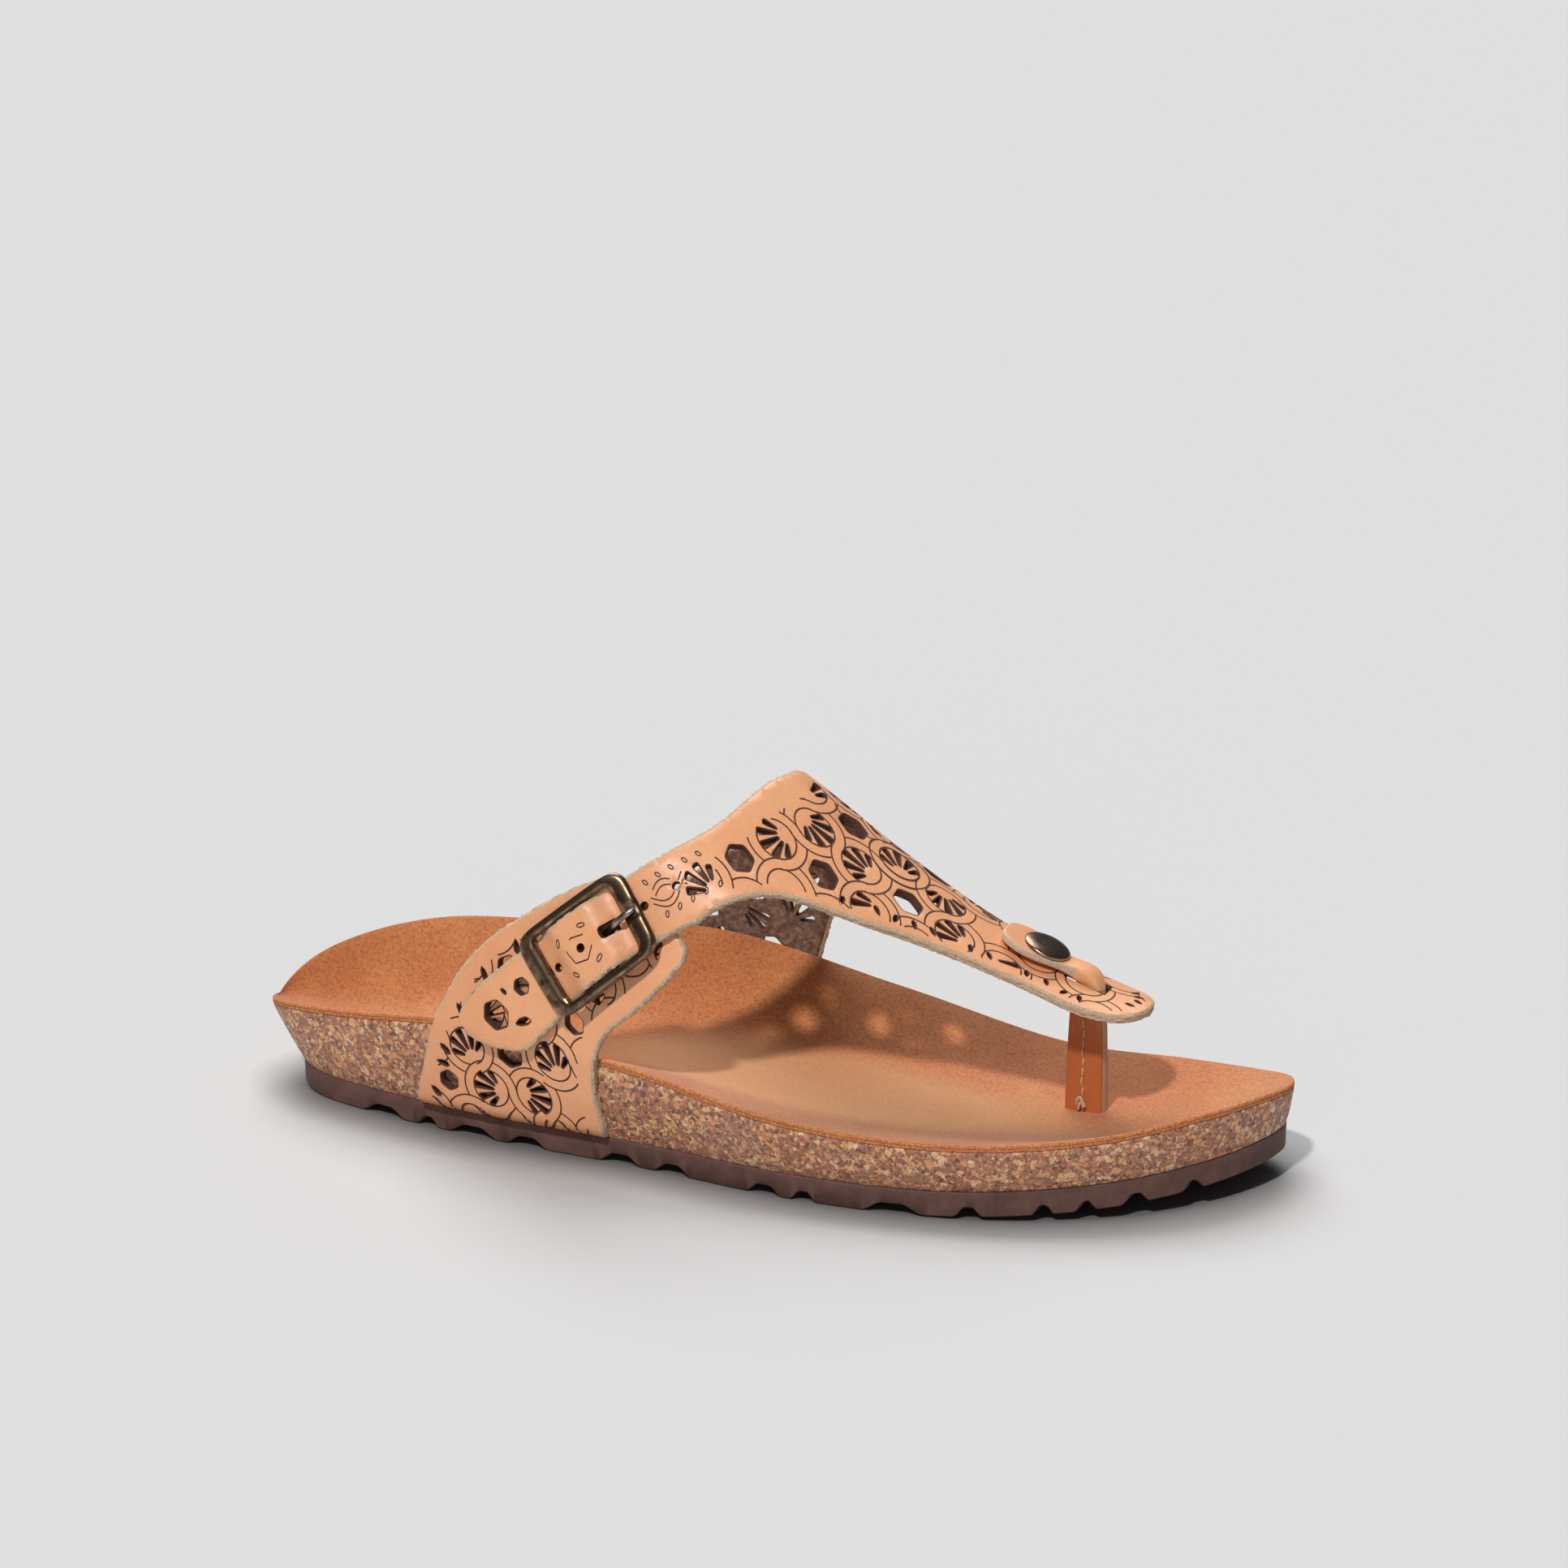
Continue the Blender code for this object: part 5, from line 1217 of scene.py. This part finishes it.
def make_stitches(thread):
    """Back stitches down the middle of the post's outer face, and the thread's knot at its foot."""
    side, thick, foot, through = post_line()
    up = (through - foot).normalized()
    length = (through - foot).length
    bed = float(bed_height(POST_AT, 0.05)) - foot.z
    paths = []
    reach_up = np.arange(bed + 1.5 * MM, length - 3 * MM, 2.5 * MM)
    for k, start in enumerate(reach_up):
        narrow = 1 - 0.2 * (start / length) ** 2
        out = -thick * (POST_THICKNESS / 2 * narrow)
        lean = side * (0.12 * MM * math.sin(2.1 * k))
        points = []
        for share in np.linspace(0, 1, 6):
            lift = 0.30 * MM * math.sin(math.pi * share) - 0.08 * MM
            points.append(foot + up * (start + 2.2 * MM * share) + out - thick * lift + lean * (1 + share))
        paths.append(points)
    base = foot + up * (bed + 1.6 * MM) - thick * (POST_THICKNESS / 2 + 0.3 * MM)
    for k in range(5):
        phase = 1.3 * k
        points = []
        for share in np.linspace(0, 1, 9):
            around = phase + 4.5 * share
            points.append(base + side * (1.0 * MM * math.cos(around) * (0.6 + 0.12 * k))
                          + up * (1.2 * MM * math.sin(1.7 * around) + 0.3 * MM * k)
                          - thick * (0.35 * MM * (1 + math.sin(around + k))))
        paths.append(points)
    verts, faces = [], []
    sides = 7
    for points in paths:
        faces += loft_faces(len(points), sides, len(verts))
        for k, point in enumerate(points):
            tangent = (points[min(k + 1, len(points) - 1)] - points[max(k - 1, 0)]).normalized()
            across_it = tangent.cross(thick).normalized()
            over_it = tangent.cross(across_it)
            radius = THREAD_RADIUS * (0.55 if k in (0, len(points) - 1) else 1)
            verts += [point + across_it * radius * math.cos(angle) + over_it * radius * math.sin(angle)
                      for angle in circle(sides)]
    stitches = new_object("post_stitches", verts, faces, [thread])


def make_rivet(made):
    under_cap = LEATHER + TAB_THICKNESS + WALL_GAP + 0.3 * GAP
    dome = 0.75 * RIVET_HEIGHT
    foot = 0.6 * RIVET_RADIUS
    profile = [(0, -0.9 * MM), (foot, -0.9 * MM), (foot, -0.3 * MM), (RIVET_STEM, -0.2 * MM),
               (RIVET_STEM, under_cap), (0.93 * RIVET_RADIUS, under_cap),
               (RIVET_RADIUS, under_cap + 0.25 * MM)]
    for k in range(1, 13):
        angle = math.radians(7.5 * k)
        profile.append((RIVET_RADIUS * max(0.0, math.cos(angle)) ** 0.9,
                        under_cap + 0.4 * MM + dome * math.sin(angle) ** 0.9))
    x = POST_AT - RIVET_BACK
    base = arm_point(x, 0, 0)
    up = (arm_point(x, 0, MM) - base).normalized()
    place = Matrix.Translation(base) @ up.to_track_quat("Z", "Y").to_matrix().to_4x4()
    segments = 64
    verts = [place @ Vector((radius * math.cos(angle), radius * math.sin(angle), z))
             for radius, z in profile for angle in circle(segments)]
    rivet = new_object("toe_rivet_cap", verts, loft_faces(len(profile), segments), [made], None, 50)
    mend(rivet, 1e-6)
    rivet.data.set_sharp_from_angle(angle=math.radians(50))
    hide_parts("toe_rivet")


# Materials

class Look:
    """A material's node tree, with short calls for the nodes used here."""

    def __init__(self, name, roughness=0.6, metallic=0.0):
        self.material = bpy.data.materials.new(name)
        self.material.use_nodes = True
        self.nodes = self.material.node_tree.nodes
        self.links = self.material.node_tree.links
        self.shader = self.nodes["Principled BSDF"]
        self.shader.inputs["Roughness"].default_value = roughness
        self.shader.inputs["Metallic"].default_value = metallic
        self.place = self.nodes.new("ShaderNodeTexCoord").outputs["Object"]

    def link(self, source, target):
        self.links.new(source, target)

    def noise(self, size, detail=4, rough=0.6, place=None):
        node = self.nodes.new("ShaderNodeTexNoise")
        node.inputs["Scale"].default_value = 1 / size
        node.inputs["Detail"].default_value = detail
        node.inputs["Roughness"].default_value = rough
        self.link(place or self.place, node.inputs["Vector"])
        return node.outputs["Fac"]

    def cells(self, size, feature="F1", random=1.0, output="Distance", place=None):
        node = self.nodes.new("ShaderNodeTexVoronoi")
        node.feature = feature
        node.inputs["Scale"].default_value = 1 / size
        node.inputs["Randomness"].default_value = random
        self.link(place or self.place, node.inputs["Vector"])
        return node.outputs[output]

    def ramp(self, value, *stops):
        node = self.nodes.new("ShaderNodeValToRGB")
        ramp = node.color_ramp
        while len(ramp.elements) < len(stops):
            ramp.elements.new(0.5)
        for element, (at, colour) in zip(ramp.elements, stops):
            element.position = at
            element.color = (*colour, 1) if isinstance(colour, tuple) else (colour, colour, colour, 1)
        self.link(value, node.inputs["Fac"])
        return node.outputs["Color"]

    def feed(self, *pairs):
        """Give each socket its value: a number, a colour or another node's output."""
        for value, socket in pairs:
            if isinstance(value, (int, float)):
                socket.default_value = value
            elif isinstance(value, tuple):
                socket.default_value = (*value, 1)
            elif value is not None:
                self.link(value, socket)

    def mix(self, share, a, b, mode="MIX"):
        node = self.nodes.new("ShaderNodeMix")
        node.data_type = "RGBA"
        node.blend_type = mode
        self.feed((share, node.inputs[0]), (a, node.inputs[6]), (b, node.inputs[7]))
        return node.outputs[2]

    def math(self, kind, a, b):
        node = self.nodes.new("ShaderNodeMath")
        node.operation = kind
        self.feed((a, node.inputs[0]), (b, node.inputs[1]))
        return node.outputs[0]

    def scaled(self, source, by, plus):
        """The vector source times by, plus another vector or output."""
        node = self.nodes.new("ShaderNodeVectorMath")
        node.operation = "MULTIPLY_ADD"
        self.link(source, node.inputs[0])
        node.inputs[1].default_value = by
        if isinstance(plus, tuple):
            node.inputs[2].default_value = plus
        else:
            self.link(plus, node.inputs[2])
        return node.outputs[0]

    def bump(self, height, distance, strength=1.0, before=None):
        node = self.nodes.new("ShaderNodeBump")
        node.inputs["Strength"].default_value = strength
        node.inputs["Distance"].default_value = distance
        self.link(height, node.inputs["Height"])
        if before:
            self.link(before, node.inputs["Normal"])
        return node.outputs["Normal"]

    def finish(self, colour=None, normal=None, roughness=None):
        base, bump, rough = (self.shader.inputs[name] for name in ("Base Color", "Normal", "Roughness"))
        self.feed((colour, base), (normal, bump), (roughness, rough))
        return self.material


def grain_leather(name, light, dark, roughness):
    look = Look(name, roughness)
    cloud = look.noise(26 * MM, 3, 0.55)
    fine = look.noise(0.7 * MM, 3, 0.6)
    colour = look.ramp(cloud, (0.3, dark), (0.7, light))
    colour = look.mix(0.22, colour, look.ramp(fine, (0.35, 0.62), (0.7, 1.0)), "MULTIPLY")
    pebbles = look.cells(0.75 * MM, "SMOOTH_F1")
    wrinkles = look.noise(2.2 * MM, 5, 0.62)
    normal = look.bump(pebbles, 0.05 * MM, 0.35)
    normal = look.bump(wrinkles, 0.10 * MM, 0.35, normal)
    look.shader.inputs["Coat Weight"].default_value = 0.22
    look.shader.inputs["Coat Roughness"].default_value = 0.38
    rough = look.ramp(look.noise(1.4 * MM), (0.3, roughness - 0.08), (0.7, roughness + 0.08))
    return look.finish(colour, normal, rough)


def flesh_side():
    look = Look("flesh_side", 0.9)
    blotch = look.noise(1.7 * MM, 6, 0.7)
    colour = look.ramp(blotch, (0.34, (0.085, 0.042, 0.028)), (0.5, (0.20, 0.115, 0.08)),
                       (0.68, (0.38, 0.26, 0.19)))
    return look.finish(colour, look.bump(look.noise(0.5 * MM, 6, 0.75), 0.35 * MM, 0.8))


def raw_edge():
    look = Look("raw_edge", 0.95)
    fibre = look.noise(0.42 * MM, 6, 0.8)
    colour = look.ramp(fibre, (0.30, (0.36, 0.22, 0.13)), (0.46, (0.74, 0.54, 0.36)),
                       (0.64, (0.90, 0.76, 0.57)))
    return look.finish(colour, look.bump(fibre, 0.5 * MM, 1.0))


def burnt():
    look = Look("burnt_cut", 0.85)
    char = look.noise(0.6 * MM, 4, 0.7)
    colour = look.ramp(char, (0.35, (0.045, 0.016, 0.014)), (0.7, (0.14, 0.055, 0.042)))
    return look.finish(colour, look.bump(look.noise(0.3 * MM, 3), 0.1 * MM, 0.5))


def suede():
    look = Look("suede", 0.95)
    cloud = look.noise(38 * MM, 4, 0.6)
    colour = look.ramp(cloud, (0.3, (0.54, 0.165, 0.052)), (0.5, (0.60, 0.205, 0.066)),
                       (0.72, (0.69, 0.280, 0.098)))
    speck = look.ramp(look.noise(0.8 * MM, 5, 0.75), (0.36, (0.52, 0.42, 0.36)), (0.5, 0.96),
                      (0.66, (1.22, 1.25, 1.25)))
    colour = look.mix(0.75, colour, speck, "MULTIPLY")
    away = look.nodes.new("ShaderNodeVectorMath")
    away.operation = "LENGTH"
    pressed = look.scaled(look.place, (1 / PRESSED_LENGTH, 1 / PRESSED_WIDTH, 0), (-0.25, 0.15, 0))
    look.link(pressed, away.inputs[0])
    far = look.math("ADD", away.outputs["Value"], look.math("MULTIPLY", cloud, 0.5))
    colour = look.mix(look.ramp(far, (0.75, 0.45), (1.25, 0.0)), colour, (0.83, 0.44, 0.20))
    dots = look.cells(2.4 * MM)
    colour = look.mix(look.ramp(dots, (0.05, 0.5), (0.10, 0.0)), colour, (0.20, 0.065, 0.02))
    look.shader.inputs["Sheen Weight"].default_value = 0.25
    look.shader.inputs["Sheen Roughness"].default_value = 0.5
    nap = look.noise(0.45 * MM, 5, 0.8)
    return look.finish(colour, look.bump(nap, 0.25 * MM, 0.8, look.bump(cloud, 1.5 * MM, 0.15)))


def suede_edge():
    look = Look("suede_edge", 0.95)
    fibre = look.noise(0.6 * MM, 5, 0.75)
    colour = look.ramp(fibre, (0.33, (0.34, 0.085, 0.025)), (0.5, (0.66, 0.225, 0.075)),
                       (0.68, (0.85, 0.42, 0.19)))
    return look.finish(colour, look.bump(fibre, 0.5 * MM, 0.9))


def cork():
    look = Look("cork_granulate", 0.55)
    warp = look.nodes.new("ShaderNodeTexNoise")
    warp.inputs["Scale"].default_value = 1 / CORK_WARP
    warp.inputs["Detail"].default_value = 3
    look.link(look.place, warp.inputs["Vector"])
    bent = look.scaled(warp.outputs["Color"], (1.5 * MM,) * 3, look.place)

    def pick(size):
        node = look.nodes.new("ShaderNodeSeparateColor")
        look.link(look.cells(size, "F1", 1.0, "Color", bent), node.inputs[0])
        return node.outputs
    dust = look.noise(0.7 * MM, 5, 0.7)
    base = look.ramp(dust, (0.32, (0.225, 0.085, 0.052)), (0.5, (0.420, 0.180, 0.110)),
                     (0.7, (0.62, 0.285, 0.165)))
    large, small = pick(1.4 * MM), pick(0.8 * MM)
    chips = look.ramp(large[1], (0.0, (0.72, 0.27, 0.12)), (0.4, (0.86, 0.40, 0.17)),
                      (0.75, (0.92, 0.56, 0.28)), (1.0, (0.95, 0.74, 0.48)))
    colour = look.mix(look.ramp(large[0], (0.70, 0.0), (0.74, 0.8)), base, chips)
    fine = look.ramp(small[1], (0.0, (0.62, 0.22, 0.11)), (0.5, (0.86, 0.42, 0.19)),
                     (1.0, (0.92, 0.66, 0.40)))
    colour = look.mix(look.ramp(small[0], (0.72, 0.0), (0.76, 0.65)), colour, fine)
    colour = look.mix(look.ramp(small[2], (0.80, 0.0), (0.84, 0.6)), colour, (0.075, 0.030, 0.022))
    seams = look.cells(1.5 * MM, "DISTANCE_TO_EDGE", 1.0, "Distance", bent)
    colour = look.mix(look.ramp(seams, (0.0, 0.45), (0.06, 0.0)), colour, (0.10, 0.042, 0.030))
    pale = look.noise(16 * MM, 3)
    colour = look.mix(look.ramp(pale, (0.48, 0.0), (0.75, 0.14)), colour, (0.55, 0.46, 0.44))
    height = look.math("ADD", look.ramp(seams, (0.0, 0.0), (0.12, 1.0)), look.noise(0.5 * MM, 4))
    look.shader.inputs["Coat Weight"].default_value = 0.10
    look.shader.inputs["Coat Roughness"].default_value = 0.35
    rough = look.ramp(look.noise(3 * MM), (0.3, 0.45), (0.7, 0.65))
    return look.finish(colour, look.bump(height, 0.12 * MM, 0.6), rough)


def foam():
    look = Look("eva_foam", 0.75)
    base = look.ramp(look.noise(5 * MM, 4), (0.3, (0.094, 0.044, 0.036)), (0.7, (0.158, 0.076, 0.060)))
    specks = look.cells(0.9 * MM)
    colour = look.mix(look.ramp(specks, (0.08, 0.35), (0.16, 0.0)), base, (0.42, 0.27, 0.22))
    return look.finish(colour, look.bump(look.noise(0.35 * MM, 5, 0.7), 0.12 * MM, 0.6))


def antique(name, dark, bright, roughness):
    look = Look(name, roughness, 1.0)
    patches = look.noise(2.6 * MM, 5, 0.65)
    colour = look.ramp(patches, (0.36, dark), (0.66, bright))
    edges = look.nodes.new("ShaderNodeNewGeometry").outputs["Pointiness"]
    worn = look.ramp(edges, (0.50, 0.0), (0.56, 0.85))
    colour = look.mix(worn, colour, tuple(min(1, 1.9 * c) for c in bright))
    scratches = look.noise(0.5 * MM, 6, 0.7)
    rough = look.ramp(patches, (0.35, roughness + 0.12), (0.7, roughness - 0.08))
    return look.finish(colour, look.bump(scratches, 0.03 * MM, 0.5), rough)


def cotton():
    look = Look("cotton_thread", 0.9)
    twist = look.noise(0.4 * MM, 3)
    colour = look.ramp(twist, (0.3, (0.48, 0.29, 0.16)), (0.7, (0.78, 0.58, 0.40)))
    return look.finish(colour, look.bump(twist, 0.1 * MM, 0.7))


# Camera, floor and light

def make_camera():
    camera = bpy.data.objects.new("camera", bpy.data.cameras.new("camera"))
    bpy.context.scene.collection.objects.link(camera)
    back = Vector((math.sin(CAMERA_AZIMUTH) * math.cos(CAMERA_ELEVATION),
                   -math.cos(CAMERA_AZIMUTH) * math.cos(CAMERA_ELEVATION), math.sin(CAMERA_ELEVATION)))
    right = Vector((math.cos(CAMERA_AZIMUTH), math.sin(CAMERA_AZIMUTH), 0))
    up = back.cross(right)
    per_pixel = CAMERA_DISTANCE / FOCAL_PIXELS
    target = Vector((0, CENTRE.y, TARGET_HEIGHT))
    place = target + back * CAMERA_DISTANCE
    place -= right * (TARGET_PIXEL[0] - PHOTO_SIZE / 2) * per_pixel
    place -= up * (PHOTO_SIZE / 2 - TARGET_PIXEL[1]) * per_pixel
    matrix = Matrix((right, up, back)).transposed().to_4x4()
    matrix.translation = place
    camera.matrix_world = matrix
    camera.data.sensor_width = 36
    camera.data.lens = FOCAL_PIXELS / PHOTO_SIZE * 36
    camera.data.clip_start = 0.05
    bpy.context.scene.camera = camera


def make_stage():
    mesh = bpy.data.meshes.new("floor")
    mesh.from_pydata([(FLOOR_HALF * a, FLOOR_HALF * b, 0) for a, b in SQUARE], [], [(0, 1, 2, 3)])
    floor = bpy.data.objects.new("floor", mesh)
    bpy.context.scene.collection.objects.link(floor)
    look = Look("floor", 0.9)
    look.shader.inputs["Specular IOR Level"].default_value = 0.1
    # Painted contact shadow: the floor's own colour is darkened by ambient occlusion wherever the sole
    # stands close to it, on top of the lamps' real shadows.
    near = look.nodes.new("ShaderNodeAmbientOcclusion")
    near.samples = 8
    near.inputs["Distance"].default_value = 16 * MM
    mesh.materials.append(look.finish(look.ramp(near.outputs["AO"], (0.35, (0.16, 0.15, 0.155)),
                                                (0.97, (0.610, 0.610, 0.615)))))


def add_sun(name, power, size, towards, colour=(1, 1, 1)):
    light = bpy.data.lights.new(name, "SUN")
    light.energy = power
    light.angle = math.radians(size)
    light.color = colour
    item = bpy.data.objects.new(name, light)
    bpy.context.scene.collection.objects.link(item)
    item.rotation_euler = Vector(towards).to_track_quat("-Z", "Y").to_euler()


def make_light():
    add_sun("key", 2.05, 4, (0.02, 0.8, -1), (1.0, 0.985, 0.96))
    add_sun("soft_from_behind", 2.35, 42, (0.38, -0.68, -1))
    add_sun("low_front", 0.22, 25, (-0.15, 1, -0.2))
    world = bpy.data.worlds.new("studio")
    world.use_nodes = True
    world.node_tree.nodes["Background"].inputs["Color"].default_value = (0.97, 0.985, 1.0, 1)
    world.node_tree.nodes["Background"].inputs["Strength"].default_value = 0.10
    bpy.context.scene.world = world
    bpy.context.scene.view_settings.view_transform = "Standard"


def main():
    make_camera()
    make_stage()
    make_light()
    grain = grain_leather("natural_leather", (0.92, 0.450, 0.225), (0.84, 0.360, 0.165), 0.42)
    brown = grain_leather("post_leather", (0.58, 0.165, 0.050), (0.46, 0.115, 0.034), 0.42)
    raw = raw_edge()
    cut = [grain, flesh_side(), raw, burnt()]
    make_panel(cut)
    make_strap(cut)
    make_insole(suede(), suede_edge())
    make_midsole(cork())
    make_outsole(foam())
    metal = antique("antique_brass", (0.030, 0.020, 0.014), (0.26, 0.170, 0.105), 0.26)
    make_frame(metal)
    make_prong(antique("prong_metal", (0.05, 0.042, 0.036), (0.26, 0.22, 0.18), 0.3))
    make_post(brown, raw, grain)
    make_stitches(cotton())
    make_rivet(antique("rivet_metal", (0.13, 0.088, 0.068), (0.24, 0.165, 0.125), 0.24))
    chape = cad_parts["chape"].data.materials
    chape.clear()
    chape.append(grain_leather("chape_leather", (0.50, 0.26, 0.135), (0.38, 0.18, 0.09), 0.65))


main()
